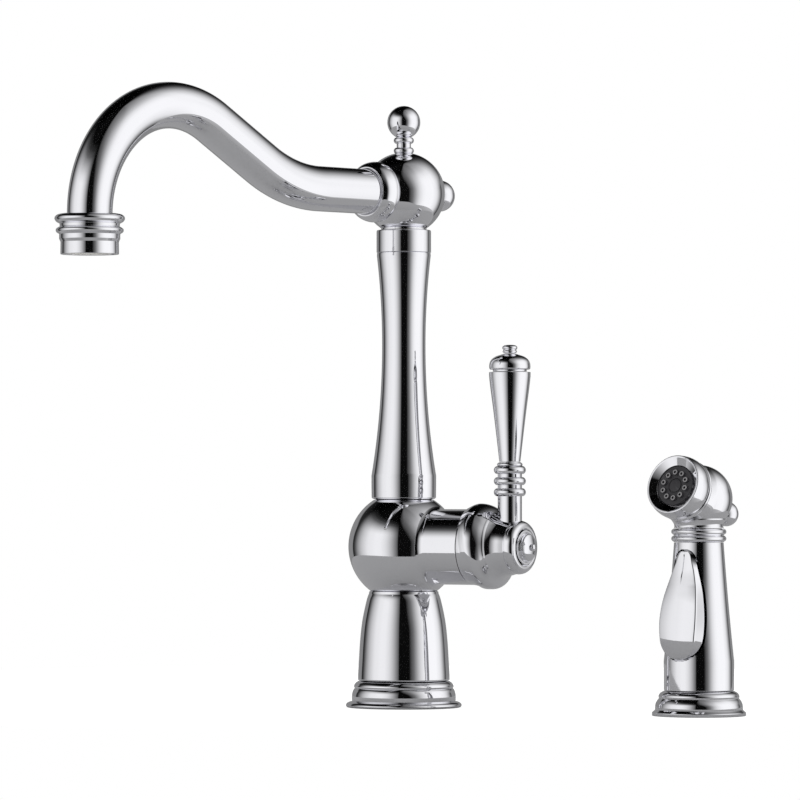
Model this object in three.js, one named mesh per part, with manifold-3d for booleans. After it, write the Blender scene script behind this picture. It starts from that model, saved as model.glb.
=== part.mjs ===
// A kitchen faucet with a side spray, in millimetres, +Z up.
// The origin is on the deck under the faucet's column; the side spray stands along +X, the user is on -Y.
import * as THREE from "three";
import { mergeVertices } from "three/addons/utils/BufferGeometryUtils.js";
import Module from "manifold-3d";

const wasm = await Module();
wasm.setup();

// ---- Driving dimensions ----

const HOLE_SPACING = 203.2; // deck holes of the faucet and of the side spray
const GAP = 0.3; // between two pieces that touch
const RUNNING_GAP = 0.5; // between two pieces that slide on each other

// Base on the deck
const FLANGE_R = 34.9;
const FLANGE_HEIGHT = 3.6;
const OGEE_R = 31.4;
const OGEE_HEIGHT = 7.8;
const BEAD_R = 29.8;
const BEAD_HEIGHT = 4.6;
const BASE_BORE_R = 24;
const BELL_FOOT_R = 28;
const BELL_TOP_R = 21;
const BELL_HEIGHT = 52.6;
const BELL_WALL = 3;
const PLATE_HEIGHT = 10;
const GASKET_HEIGHT = 1.6;
const SUPPLY_TUBE_R = 4.75;
const SUPPLY_TUBE_WALL = 0.9;
const INLET_X = 8; // the hot and cold tubes stand this far to the handle's side
const INLET_Y = 8; // and this far to the back and to the front
const SPRAY_OUTLET_X = -12;

// Valve body: a ball with a barrel towards +X
const BALL_R = 33.9;
const BALL_FOOT_R = 19.8; // radius where the ball is cut flat below
const BALL_NECK_R = 18.8; // and above
const BARREL_R = 22.2;
const BARREL_END_X = 50.4;
const BARREL_BORE_R = 18.8;
const SEAT_X = 14; // the cartridge's seat in the barrel
const WATERWAY_R = 8.3; // upright bore in the ball
const PASSAGE_R = 3.4;

// Column, waisted like a vase
const COLUMN_HEIGHT = 148.4;
const COLUMN_FOOT_R = 20;
const COLUMN_FOOT_HEIGHT = 14.2;
const COLUMN_WAIST_R = 13.3;
const COLUMN_WAIST_HEIGHT = 92.6;
const COLUMN_TOP_R = 16.6;
const COLUMN_BORE_R = 9.5;
const CAP_HEIGHT = 13.6;

// Swivel inside the column's top
const POST_BORE_R = 5.5;
const POST_BELOW = 26; // how far the post reaches down from the hub
const POST_ABOVE = 17; // and up into it
const O_RING_HEIGHT = 2;
const O_RING_DEPTH = 1.4;
const RISER_R = 6;
const RISER_WALL = 1.1;
const WASHER_HEIGHT = 1.2;
const WASHER_R = 13;

// Diverter in the upright bore
const SPOOL_HEIGHT = 12;
const SPOOL_TRAVEL = 3;

// Spout
const SPOUT_HEADING = -101; // degrees from +X, seen from above
const HUB_R = 24.9;
const HUB_FOOT_R = 14.4; // radius where the hub ball meets the cap band
const TUBE_R = 13.4;
const TUBE_WALL = 1.5;
const TUBE_INSERTION = 12; // where the tube starts, from the hub's axis
const RISE_START = 73; // the level stretch ends here
const RISE_BEND_R = 100;
const RISE_ANGLE = 29; // slope of the straight stretch
const RISE_LENGTH = 46;
const CROOK_R = 65; // the big bend over the top
const COLLAR_R = 18.2;
const COLLAR_START = 17;
const COLLAR_LENGTH = 16.3;
const FINIAL_BALL_R = 10.1;
const FINIAL_HEIGHT = 18.1; // from the hub's top to the ball's centre
const FINIAL_BEAD_R = 6;
const FINIAL_WAIST_R = 4.4;
const FINIAL_FOOT_R = 5;
const FINIAL_STUD_R = 3;
const FINIAL_STUD_LENGTH = 9;
const BACK_BALL_R = 9.5;
const BACK_BALL_OFFSET = 31.3;
const BACK_STUD_R = 2.5;

// Outlet at the spout's end
const OUTLET_RING_R = 20;
const OUTLET_BODY_R = 17.5;
const OUTLET_MOUTH_R = 16.6;
const OUTLET_HEIGHT = 23;
const OUTLET_BORE_R = 14.6;
const OUTLET_OVERLAP = 12.5; // how far the tube goes into the shell
const AERATOR_HEIGHT = 8;
const AERATOR_HOLE_R = 2.6;
const AERATOR_PITCH = 7.8;
const AERATOR_WASHER_HEIGHT = 1.3;

// Cartridge in the barrel
const CARTRIDGE_R = 17.5;
const CARTRIDGE_LENGTH = 28.4;
const CARTRIDGE_WALL = 3.3;
const CARTRIDGE_LIP = 4.2;
const SEAL_HEIGHT = 1.2;
const DISC_R = 13.8;
const DISC_HEIGHT = 3;
const NUT_LENGTH = 5.2;
const NUT_BORE_R = 11.5;
const SPINDLE_R = 6.5;
const SPINDLE_FLANGE_R = 11.4;
const SPINDLE_FLANGE_HEIGHT = 4.3;
const FORK_HUB_R = 10.4;
const FORK_SLOT = 10.4;
const FORK_ARM = 3.2;
const FORK_WIDTH = 11;
const PIN_R = 1.5;

// Handle hub: a skirt that slides over the bonnet, about the pivot
const PIVOT_X = 56.5;
const SKIRT_INNER_R = 23.6;
const SKIRT_R = 26;
const SKIRT_SLANT = 11.5; // degrees; the handle opens through twice this angle
const SKIRT_EDGE = -2.3; // along the skirt's axis, from the pivot
const SKIRT_CEILING = 8.2;
const SKIRT_CLOSE = 15.2;
const BONNET_END = 2.8;
const BONNET_WALL = 2.6;
const NECK_ROOT_R = 18.5;
const NECK_END_R = 15.2;
const HUB_END_X = 85.8;
const HUB_CAVITY_R = 11;
const HUB_WALL_X = 79;
const CAP_SOCKET_R = 11;
const CAP_SOCKET_DEPTH = 3.4;
const CAP_DOME_R = 8.6;
const CAP_DOME_HEIGHT = 2.4;
const CAP_BALL_R = 2.1;
const ROOT_SHAFT_R = 3.8;
const ROOT_EYE_R = 5;
const ROOT_FLANGE_R = 9;
const SCREW_R = 2;
const SCREW_HEAD_R = 4.6;
const SCREW_HEAD_HEIGHT = 1.4;

// Lever, upright on the handle's neck
const LEVER_X = 74.8;
const STEM_R = 7.2;
const STEM_HEIGHT = 51.9; // from the valve's axis to the grip
const STEM_RING_R = 9.7;
const STEM_RING_PITCH = 6.6;
const STEM_RING_HEIGHT = 39.7; // the middle ring, from the valve's axis
const GRIP_FOOT_R = 6.3;
const GRIP_TOP_R = 12.3;
const GRIP_HEIGHT = 53;
const DOME_R = 12.4;
const DOME_HEIGHT = 9.8;
const BUTTON_R = 4.4;
const BUTTON_HEIGHT = 4.9;
const ROD_R = 2.5;
const SPIGOT_R = 4;
const SPIGOT_START = 12; // from the valve's axis

// Side spray's holder
const HOLDER_R = 27.3;
const HOLDER_HEIGHT = 14.4;
const HOLDER_BORE_R = 17;
const BUSH_WALL = 2;

// Hand spray
const SPRAY_HEADING = -95;
const SPRAY_FOOT_R = 20.4;
const SPRAY_FOOT_HEIGHT = 17; // straight stretch above the holder
const SPRAY_TAPER_HEIGHT = 68.8;
const SPRAY_MIDDLE_R = 17.2; // half-way up the taper
const SPRAY_TOP_R = 14.4;
const SHANK_R = 14.1;
const SHANK_BORE_R = 8.9;
const SHANK_LENGTH = 11.6;
const SPRAY_BORE_R = 4.3;
const SPRAY_TUBE_WALL = 1;
const SPRAY_RING_R = 15.6;
const SPRAY_GROOVE_R = 14.8;
const SPRAY_RING_PITCH = 4;
const SPRAY_COLLAR_HEIGHT = 7.9;
const HEAD_R = 20.06;
const HEAD_NECK_R = 13.3;
const HEAD_TILT = 17.5; // degrees above level
const HEAD_FRONT = 9; // the head's flat front, from its centre
const HEAD_PORT_R = 9;
const BEZEL_R = 18.2;
const BEZEL_BEAD_R = 18.6;
const BEZEL_END = 26.5;
const BEZEL_RIM_R = 16.8;
const BEZEL_LIP_R = 12.1;
const BEZEL_BORE_R = 14.6;
const BEZEL_THREAD_R = 12.3;
const FACE_RECESS = 1.6;
const NOZZLE_COUNT = 10;
const NOZZLE_CIRCLE_R = 8;
const NOZZLE_R = 1.35;
const NOZZLE_HEIGHT = 1.5;
const NOZZLE_HOLE_R = 0.55;
const FACE_PAD_R = 3.9;
const SPRAY_BALL_R = 7.3;
const SPRAY_BALL_OFFSET = 29;
const SPRAY_BALL_NECK_R = 3.4;

// Trigger, a teardrop paddle in a recess
const TRIGGER_PIVOT_X = 10.5; // in front of the spray's axis
const TRIGGER_PIVOT_Z = 91;
const TRIGGER_GAP = 0.9;
const TRIGGER_PRESS = 7; // degrees
const RECESS_FLOOR_X = 6.6;
const TRIGGER_BACK_TOP = 8.2; // the paddle's back face, from the spray's axis
const TRIGGER_BACK_FOOT = 14.2;
const TRIGGER_PIN_R = 1.25;
const TRIGGER_PIN_LENGTH = 18.6;
const PLUNGER_Z = 75;
const PLUNGER_R = 2.2;
const PLUNGER_SEAL_R = 3.7;
const PLUNGER_SEAL_HEIGHT = 1;
const SPRING_Z = 62;
const SPRING_R = 3;
const SPRING_WIRE_R = 0.3;
const SPRING_TURNS = 2;

// Facets round a full turn
const TURNING = 24; // a bore and the piece that turns in it
const FINE = 18;
const MEDIUM = 12;
const COARSE = 8;

// ---- Worked out from them ----

const degrees = THREE.MathUtils.degToRad;
const legOf = (radius, cutRadius) => Math.sqrt(radius ** 2 - cutRadius ** 2);

const escutcheonTop = FLANGE_HEIGHT + OGEE_HEIGHT + BEAD_HEIGHT;
const bellFoot = escutcheonTop + GAP;
const bellTop = bellFoot + BELL_HEIGHT;
const ballFoot = bellTop + GAP;
const valveZ = ballFoot + legOf(BALL_R, BALL_FOOT_R);
const ballTop = valveZ + legOf(BALL_R, BALL_NECK_R);
const columnFoot = ballTop + GAP;
const columnTop = columnFoot + COLUMN_HEIGHT;
const capFoot = columnTop + GAP;
const capTop = capFoot + CAP_HEIGHT;
const hubFoot = capTop + GAP;
const hubZ = hubFoot + 1.3 + legOf(HUB_R, HUB_FOOT_R);
const hubTop = hubZ + HUB_R;

// ---- Materials ----

const material = (color, roughness, metalness) =>
  new THREE.MeshStandardMaterial({ color, roughness, metalness });
const chrome = material(0xd8dade, 0.06, 1);
const brass = material(0xb8923f, 0.35, 1);
const copper = material(0xb4694a, 0.35, 1);
const steel = material(0x9a9ca0, 0.3, 1);
const rubber = material(0x1b1b1c, 0.8, 0);
const blackRubber = material(0x232324, 0.65, 0);
const nylon = material(0xe6e4dc, 0.5, 0);
const greyPlastic = material(0x5b5f66, 0.5, 0);
const ceramic = material(0xf1efe8, 0.25, 0);

// ---- Helpers ----

// Points of an arc, as [radius, height] pairs, with its angles in degrees from the radius direction.
function arc(centreR, centreH, radius, from, to, steps) {
  return Array.from({ length: steps + 1 }, (_, i) => {
    const angle = degrees(from + ((to - from) * i) / steps);
    return [centreR + radius * Math.cos(angle), centreH + radius * Math.sin(angle)];
  });
}

// A smooth run of [radius, height] pairs through the given ones.
function smooth(through, steps) {
  const curve = new THREE.SplineCurve(through.map(([r, h]) => new THREE.Vector2(r, h)));
  return curve.getPoints(steps).map((p) => [p.x, p.y]);
}

// A solid of revolution about +Z. The outline is closed on itself, or starts and ends on the axis.
function revolve(outline, facets) {
  const points = outline.map(([r, h]) => new THREE.Vector2(Math.max(r, 0), h));
  if (THREE.ShapeUtils.area(points) < 0) points.reverse();
  if (points[0].x > 0 || points.at(-1).x > 0) points.push(points[0].clone());
  return new THREE.LatheGeometry(points, facets).rotateX(Math.PI / 2);
}

const cylinder = (radius, from, to, facets) =>
  revolve([[0, from], [radius, from], [radius, to], [0, to]], facets);
const tube = (inner, outer, from, to, facets) =>
  revolve([[inner, from], [outer, from], [outer, to], [inner, to]], facets);
const ball = (radius, centre, facets) =>
  revolve(arc(0, centre, radius, -90, 90, facets / 2), facets);
const block = (x, y, z, atX, atY, atZ) =>
  new THREE.BoxGeometry(x, y, z).translate(atX, atY, atZ);

// A closed skin over rings of equally many points, one ring after the other.
function loft(rings) {
  const count = rings[0].length;
  const centreOf = (ring) => [0, 1, 2].map((k) => ring.reduce((sum, p) => sum + p[k], 0) / count);
  const positions = [...rings.flat(), centreOf(rings[0]), centreOf(rings.at(-1))];
  const first = rings.length * count;
  const faces = [];
  for (let i = 0; i < count; i++) {
    const next = (i + 1) % count;
    for (let ring = 0; ring < rings.length - 1; ring++) {
      const a = ring * count + i;
      const b = ring * count + next;
      faces.push(a, b, b + count, a, b + count, a + count);
    }
    faces.push(first, next, i);
    faces.push(first + 1, first - count + i, first - count + next);
  }
  const geometry = new THREE.BufferGeometry();
  geometry.setAttribute("position", new THREE.Float32BufferAttribute(positions.flat(), 3));
  geometry.setIndex(faces);
  return geometry;
}

function solidOf(geometry) {
  const bare = geometry.clone();
  bare.deleteAttribute("normal");
  bare.deleteAttribute("uv");
  const merged = mergeVertices(bare, 1e-4);
  return new wasm.Manifold(
    new wasm.Mesh({
      numProp: 3,
      vertProperties: new Float32Array(merged.attributes.position.array),
      triVerts: new Uint32Array(merged.index.array),
    }),
  );
}

// Joins the geometries in add and cuts those in remove away from them.
function combine(add, remove = []) {
  let solid = solidOf(add[0]);
  for (const piece of add.slice(1)) solid = solid.add(solidOf(piece));
  for (const piece of remove) solid = solid.subtract(solidOf(piece));
  const mesh = solid.getMesh();
  const geometry = new THREE.BufferGeometry();
  geometry.setAttribute("position", new THREE.Float32BufferAttribute(mesh.vertProperties, 3));
  geometry.setIndex([...mesh.triVerts]);
  geometry.computeVertexNormals();
  return geometry;
}

function node(name, geometry, look) {
  const mesh = new THREE.Mesh(geometry, look);
  mesh.name = name;
  return mesh;
}

function group(...children) {
  const holder = new THREE.Group();
  holder.add(...children);
  return holder;
}

// Turns a piece made about +Z so that it lies about +X, or about +Y.
const alongX = (geometry) => geometry.rotateY(Math.PI / 2);
const alongY = (geometry) => geometry.rotateX(-Math.PI / 2);

// ---- Base ----

function baseAssembly() {
  const beadTop = escutcheonTop;
  const ogeeTop = FLANGE_HEIGHT + OGEE_HEIGHT;
  const escutcheon = combine(
    [revolve([
      [BASE_BORE_R, 0],
      [FLANGE_R, 0],
      [FLANGE_R, 1.8],
      [FLANGE_R - 0.7, 2.8],
      [OGEE_R + 0.2, FLANGE_HEIGHT],
      [OGEE_R - 0.3, FLANGE_HEIGHT + OGEE_HEIGHT * 0.45],
      [OGEE_R - 1.2, FLANGE_HEIGHT + OGEE_HEIGHT * 0.8],
      [BEAD_R - 0.9, ogeeTop],
      [BEAD_R, ogeeTop + BEAD_HEIGHT * 0.35],
      [BEAD_R - 1.4, beadTop - BEAD_HEIGHT * 0.25],
      [BELL_FOOT_R - 1.5, beadTop],
      [BASE_BORE_R, beadTop],
    ], FINE)],
    [tube(FLANGE_R - 8, FLANGE_R - 3.5, -1, GASKET_HEIGHT + GAP, FINE)],
  );
  const gasket = tube(FLANGE_R - 8 + GAP, FLANGE_R - 3.5 - GAP, 0, GASKET_HEIGHT, FINE);

  const portAt = (x, y, from, to) =>
    cylinder(SUPPLY_TUBE_R + GAP, from, to, COARSE).translate(x, y, 0);
  const ports = [
    [INLET_X, INLET_Y],
    [INLET_X, -INLET_Y],
    [SPRAY_OUTLET_X, 0],
  ];
  const plate = combine(
    [cylinder(BASE_BORE_R - GAP, 0, PLATE_HEIGHT, FINE)],
    ports.map(([x, y]) => portAt(x, y, -1, PLATE_HEIGHT + 1)),
  );

  const shoulder = (wall, steps) => smooth([
    [BELL_FOOT_R - wall, bellFoot],
    [BELL_FOOT_R - 1.4 - wall, bellFoot + BELL_HEIGHT * 0.42],
    [BELL_FOOT_R - 2.9 - wall, bellFoot + BELL_HEIGHT * 0.69],
    [BELL_TOP_R + 1.9 - wall, bellTop - BELL_HEIGHT * 0.1],
    [BELL_TOP_R - wall, bellTop],
  ], steps);
  const bell = revolve([...shoulder(0, 7), ...shoulder(BELL_WALL, 3).reverse()], FINE);

  const supply = (name, [x, y]) => node(
    name,
    tube(SUPPLY_TUBE_R - SUPPLY_TUBE_WALL, SUPPLY_TUBE_R, 1, valveZ - 16, COARSE).translate(x, y, 0),
    copper,
  );
  return group(
    node("escutcheon", escutcheon, chrome),
    node("base_gasket", gasket, rubber),
    node("base_plate", plate, brass),
    node("base_bell", bell, chrome),
    supply("hot_supply_tube", ports[0]),
    supply("cold_supply_tube", ports[1]),
    supply("spray_supply_tube", ports[2]),
  );
}

// ---- Valve: pieces about the barrel's axis are made about +Z and laid along +X ----

const housingStart = SEAT_X + GAP + SEAL_HEIGHT + GAP;
const housingEnd = housingStart + CARTRIDGE_LENGTH;
const fixedDiscStart = housingStart + GAP;
const movingDiscStart = fixedDiscStart + DISC_HEIGHT + GAP;
const flangeStart = movingDiscStart + DISC_HEIGHT + GAP;
const forkStart = housingEnd + GAP + 1.5;
const bonnetStart = BARREL_END_X + GAP;
const bonnetR = SKIRT_INNER_R - RUNNING_GAP;

function valveBody() {
  const up = (radius, from, to) => cylinder(radius, from, to, COARSE);
  const foot = -legOf(BALL_R, BALL_FOOT_R);
  const neck = legOf(BALL_R, BALL_NECK_R);
  const footAngle = THREE.MathUtils.radToDeg(Math.asin(foot / BALL_R));
  const neckAngle = THREE.MathUtils.radToDeg(Math.asin(neck / BALL_R));
  const bodyBall = revolve(
    [[0, foot], ...arc(0, 0, BALL_R, footAngle, neckAngle, 10), [0, neck]],
    FINE,
  );
  const barrel = alongX(revolve([
    [0, 0],
    [BARREL_R, 0],
    [BARREL_R, BARREL_END_X - 1.2],
    [BARREL_R - 0.6, BARREL_END_X],
    [0, BARREL_END_X],
  ], FINE));
  const inlet = (y) => [
    up(SUPPLY_TUBE_R + GAP, foot - 1, -15.7).translate(INLET_X, y, 0),
    up(PASSAGE_R, -16, 2).translate(INLET_X, y, 0),
    alongX(cylinder(PASSAGE_R, INLET_X, SEAT_X + 1, COARSE)).translate(0, y, 0),
  ];
  return combine([bodyBall, barrel], [
    alongX(cylinder(BARREL_BORE_R, SEAT_X, BARREL_END_X + 1, MEDIUM)),
    up(WATERWAY_R, 6, neck + 1),
    ...inlet(INLET_Y),
    ...inlet(-INLET_Y),
    alongX(cylinder(PASSAGE_R, 0, SEAT_X + 1, COARSE)).translate(0, 0, 9.5),
    up(SUPPLY_TUBE_R + GAP, foot - 1, -15.7).translate(SPRAY_OUTLET_X, 0, 0),
    up(PASSAGE_R, -16, 9).translate(SPRAY_OUTLET_X, 0, 0),
    alongX(cylinder(PASSAGE_R, SPRAY_OUTLET_X, 0, COARSE)).translate(0, 0, 9.5),
  ]);
}

function cartridgeAssembly() {
  const housing = revolve([
    [CARTRIDGE_R - CARTRIDGE_WALL, housingStart],
    [CARTRIDGE_R, housingStart],
    [CARTRIDGE_R, housingEnd],
    [SPINDLE_R + 2, housingEnd],
    [SPINDLE_R + 2, housingEnd - CARTRIDGE_LIP],
    [CARTRIDGE_R - CARTRIDGE_WALL, housingEnd - CARTRIDGE_LIP],
  ], MEDIUM);
  const portAngles = [90, 210, 330];
  const fixedDisc = combine(
    [cylinder(DISC_R, fixedDiscStart, fixedDiscStart + DISC_HEIGHT, MEDIUM)],
    portAngles.map((angle) =>
      cylinder(PASSAGE_R - 0.6, fixedDiscStart - 1, fixedDiscStart + DISC_HEIGHT + 1, COARSE)
        .translate(INLET_Y * Math.cos(degrees(angle)), INLET_Y * Math.sin(degrees(angle)), 0)),
  );
  const nutStart = housingEnd + GAP;
  const bonnetEnd = PIVOT_X + BONNET_END;
  const zone = (radius, from, to) => {
    const angleOf = (x) => THREE.MathUtils.radToDeg(Math.asin((x - PIVOT_X) / radius));
    return arc(0, PIVOT_X, radius, angleOf(from), angleOf(to), 3);
  };
  const bonnet = revolve([
    ...zone(bonnetR, bonnetStart, bonnetEnd),
    ...zone(bonnetR - BONNET_WALL, bonnetStart, bonnetEnd).reverse(),
  ], TURNING);
  return group(
    node("cartridge_seal",
      tube(SPINDLE_R + 5.5, CARTRIDGE_R - 1, SEAT_X + GAP, SEAT_X + GAP + SEAL_HEIGHT, MEDIUM), rubber),
    node("cartridge_housing", housing, greyPlastic),
    node("fixed_ceramic_disc", fixedDisc, ceramic),
    node("cartridge_nut",
      tube(NUT_BORE_R, BARREL_BORE_R - GAP, nutStart, nutStart + NUT_LENGTH, MEDIUM), brass),
    node("bonnet", bonnet, chrome),
  );
}

function spindleAssembly() {
  const armLength = PIVOT_X + 4.5 - forkStart;
  const armY = FORK_SLOT / 2 + FORK_ARM / 2;
  const arm = (side) =>
    block(FORK_WIDTH, FORK_ARM, armLength, 0, side * armY, forkStart + armLength / 2);
  const spindle = combine(
    [
      revolve([
        [0, flangeStart],
        [SPINDLE_FLANGE_R, flangeStart],
        [SPINDLE_FLANGE_R, flangeStart + SPINDLE_FLANGE_HEIGHT],
        [SPINDLE_R, flangeStart + SPINDLE_FLANGE_HEIGHT],
        [SPINDLE_R, forkStart],
        [FORK_HUB_R, forkStart],
        [FORK_HUB_R, forkStart + 4],
        [0, forkStart + 4],
      ], MEDIUM),
      arm(-1),
      arm(1),
    ],
    [alongY(cylinder(PIN_R + GAP, -FORK_HUB_R, FORK_HUB_R, COARSE)).translate(0, 0, PIVOT_X)],
  );
  const pinHalf = FORK_SLOT / 2 + FORK_ARM;
  return group(
    node("moving_ceramic_disc",
      cylinder(SPINDLE_FLANGE_R, movingDiscStart, movingDiscStart + DISC_HEIGHT, MEDIUM), ceramic),
    node("valve_spindle", spindle, brass),
    node("tilt_pin",
      alongY(cylinder(PIN_R, -pinHalf, pinHalf, COARSE)).translate(0, 0, PIVOT_X), steel),
  );
}

// ---- Handle ----

const capFloor = HUB_END_X - CAP_SOCKET_DEPTH;
const screwSeat = capFloor - GAP - SCREW_HEAD_HEIGHT - GAP;

const slanted = (geometry) => geometry.rotateY(degrees(-SKIRT_SLANT)).translate(0, 0, PIVOT_X);

// The neck and the skirt as solid bodies, grown by a margin.
function hubBodies(margin) {
  const neckRoot = PIVOT_X + SKIRT_CLOSE;
  const neck = [
    [0, neckRoot - 9],
    [NECK_ROOT_R - 2 + margin, neckRoot - 9],
    [NECK_ROOT_R + margin, neckRoot - 0.7],
    [NECK_END_R + 0.5 + margin, HUB_END_X - 5],
    ...arc(NECK_END_R - 3.4 + margin, HUB_END_X - 3.4, 3.4, 10, 90, 3),
    [0, HUB_END_X],
  ];
  const skirt = [
    [0, SKIRT_CLOSE + margin],
    ...smooth([
      [SKIRT_R - 10.5, SKIRT_CLOSE + margin],
      [SKIRT_R - 6 + margin, SKIRT_CLOSE - 2.7 + margin],
      [SKIRT_R - 2.1 + margin, SKIRT_CLOSE - 6.8],
      [SKIRT_R + margin, SKIRT_CLOSE - 12.4],
      [SKIRT_R - 1 + margin, SKIRT_EDGE],
    ], 6),
    [0, SKIRT_EDGE],
  ];
  return [revolve(neck, FINE), slanted(revolve(skirt, FINE))];
}

function handleHub() {
  const ceilingAngle = THREE.MathUtils.radToDeg(Math.asin(SKIRT_CEILING / SKIRT_INNER_R));
  const hollow = slanted(revolve([
    [0, SKIRT_CEILING],
    ...arc(0, 0, SKIRT_INNER_R, ceilingAngle, -15, 5),
    [0, -SKIRT_INNER_R * Math.sin(degrees(15))],
  ], TURNING));
  const cavity = cylinder(HUB_CAVITY_R, PIVOT_X + SKIRT_CEILING - 3, HUB_WALL_X, MEDIUM);
  const lever = new THREE.Matrix4().makeRotationY(-Math.PI / 2);
  const spigotHole = cylinder(SPIGOT_R + GAP, 0, NECK_ROOT_R + 4, COARSE)
    .applyMatrix4(lever).translate(0, 0, LEVER_X);
  return combine(hubBodies(0), [
    hollow,
    cavity,
    cylinder(SCREW_R + GAP, HUB_WALL_X - 1, capFloor, COARSE),
    cylinder(SCREW_HEAD_R + GAP, screwSeat, capFloor + 1, COARSE),
    cylinder(CAP_SOCKET_R, capFloor, HUB_END_X + 1, MEDIUM),
    spigotHole,
  ]);
}

function handleAssembly() {
  const flangeEnd = HUB_WALL_X - GAP;
  const rootFlangeStart = flangeEnd - 4.4;
  const boreEnd = flangeEnd - 8;
  const root = combine(
    [
      cylinder(ROOT_SHAFT_R, PIVOT_X, flangeEnd, COARSE),
      cylinder(ROOT_FLANGE_R, rootFlangeStart, flangeEnd, MEDIUM),
      alongY(cylinder(ROOT_EYE_R, -FORK_SLOT / 2 + GAP, FORK_SLOT / 2 - GAP, COARSE))
        .translate(0, 0, PIVOT_X),
    ],
    [
      alongY(cylinder(PIN_R + GAP, -FORK_SLOT, FORK_SLOT, COARSE)).translate(0, 0, PIVOT_X),
      cylinder(SCREW_R + GAP, boreEnd, flangeEnd + 1, COARSE),
    ],
  );
  const headTop = capFloor - GAP;
  const screw = combine(
    [revolve([
      [0, boreEnd + 1],
      [SCREW_R, boreEnd + 1],
      [SCREW_R, headTop - SCREW_HEAD_HEIGHT],
      [SCREW_HEAD_R, headTop - SCREW_HEAD_HEIGHT],
      [SCREW_HEAD_R, headTop],
      [0, headTop],
    ], COARSE)],
    [block(1.2, SCREW_HEAD_R * 1.2, 0.9, 0, 0, headTop)],
  );
  const capR = CAP_SOCKET_R - 2 * GAP;
  const stepTop = HUB_END_X + 1;
  const ballZ = stepTop + CAP_DOME_HEIGHT + CAP_BALL_R * 0.5;
  const cap = combine([
    revolve([
      [0, capFloor + GAP],
      [capR, capFloor + GAP],
      [capR, stepTop - 0.5],
      [capR - 0.5, stepTop],
      ...smooth([
        [CAP_DOME_R, stepTop],
        [CAP_DOME_R * 0.8, stepTop + CAP_DOME_HEIGHT * 0.5],
        [CAP_DOME_R * 0.3, stepTop + CAP_DOME_HEIGHT * 0.95],
        [0, stepTop + CAP_DOME_HEIGHT],
      ], 5),
    ], MEDIUM),
    ball(CAP_BALL_R, ballZ, 12),
  ]);
  return group(
    node("lever_root", root, brass),
    node("handle_hub", handleHub(), chrome),
    node("handle_screw", screw, steel),
    node("handle_cap", cap, chrome),
  );
}

// ---- Lever, made about its own upright axis, from the valve's axis up ----

function leverAssembly() {
  const stemBottom = SPIGOT_START;
  const ringAt = (height) => arc(STEM_R, height, STEM_RING_R - STEM_R, -60, 60, 4)
    .map(([r, h]) => [r, height + (h - height) * 0.75]);
  const rings = [-1, 0, 1].flatMap((i) => ringAt(STEM_RING_HEIGHT + i * STEM_RING_PITCH));
  const saddle = hubBodies(GAP).map((body) => alongX(body).translate(-LEVER_X, 0, 0));
  const stem = combine(
    [
      combine(
        [revolve([
          [0, SPIGOT_START],
          [STEM_R, SPIGOT_START],
          [STEM_R, STEM_RING_HEIGHT - STEM_RING_PITCH - 2.4],
          ...rings,
          [GRIP_FOOT_R + 1.2, STEM_HEIGHT - 2.4],
          [GRIP_FOOT_R, STEM_HEIGHT - 0.6],
          [GRIP_FOOT_R, STEM_HEIGHT],
          [0, STEM_HEIGHT],
        ], MEDIUM)],
        saddle,
      ),
      cylinder(SPIGOT_R, stemBottom, STEM_HEIGHT - 5, COARSE),
    ],
    [cylinder(ROD_R + GAP, SPIGOT_START + 4, STEM_HEIGHT + 1, COARSE)],
  );
  const gripFoot = STEM_HEIGHT + GAP;
  const gripTop = gripFoot + GRIP_HEIGHT;
  const grip = revolve([
    [ROD_R + GAP, gripFoot],
    [GRIP_FOOT_R, gripFoot],
    [GRIP_TOP_R, gripTop - 2.5],
    [GRIP_TOP_R - 0.5, gripTop - 0.9],
    [GRIP_TOP_R - 1.8, gripTop],
    [ROD_R + GAP, gripTop],
  ], MEDIUM);
  const domeFoot = gripTop + GAP;
  const domeTop = domeFoot + DOME_HEIGHT;
  const dome = revolve([
    [ROD_R + GAP, domeFoot],
    [DOME_R - 1.4, domeFoot],
    [DOME_R, domeFoot + 1.2],
    ...smooth([
      [DOME_R, domeFoot + 3],
      [DOME_R - 0.8, domeFoot + 5.6],
      [DOME_R - 3.2, domeFoot + 7.8],
      [DOME_R - 6.4, domeFoot + 9],
      [BUTTON_R - 0.9, domeTop],
    ], 7),
    [ROD_R + GAP, domeTop],
  ], MEDIUM);
  const buttonFoot = domeTop + GAP;
  const button = revolve([
    [0, buttonFoot],
    [BUTTON_R - 0.9, buttonFoot],
    [BUTTON_R - 0.8, buttonFoot + BUTTON_HEIGHT * 0.45],
    [BUTTON_R, buttonFoot + BUTTON_HEIGHT * 0.55],
    [BUTTON_R, buttonFoot + BUTTON_HEIGHT * 0.85],
    [BUTTON_R - 1.2, buttonFoot + BUTTON_HEIGHT],
    [0, buttonFoot + BUTTON_HEIGHT],
  ], COARSE);
  const rod = cylinder(ROD_R, SPIGOT_START + 4 + GAP, domeTop, COARSE);
  return group(
    node("lever_stem", stem, chrome),
    node("lever_rod", rod, steel),
    node("lever_grip", grip, chrome),
    node("lever_dome", dome, chrome),
    node("lever_button", button, chrome),
  );
}

// ---- Column, riser and swivel post ----

function columnRadius(height) {
  const fromWaist = height - COLUMN_WAIST_HEIGHT;
  const below = fromWaist < 0;
  const endR = below ? COLUMN_FOOT_R : COLUMN_TOP_R;
  const reach = below
    ? COLUMN_WAIST_HEIGHT - COLUMN_FOOT_HEIGHT
    : COLUMN_HEIGHT - COLUMN_WAIST_HEIGHT;
  return COLUMN_WAIST_R + (endR - COLUMN_WAIST_R) * (fromWaist / reach) ** 2;
}

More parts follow.
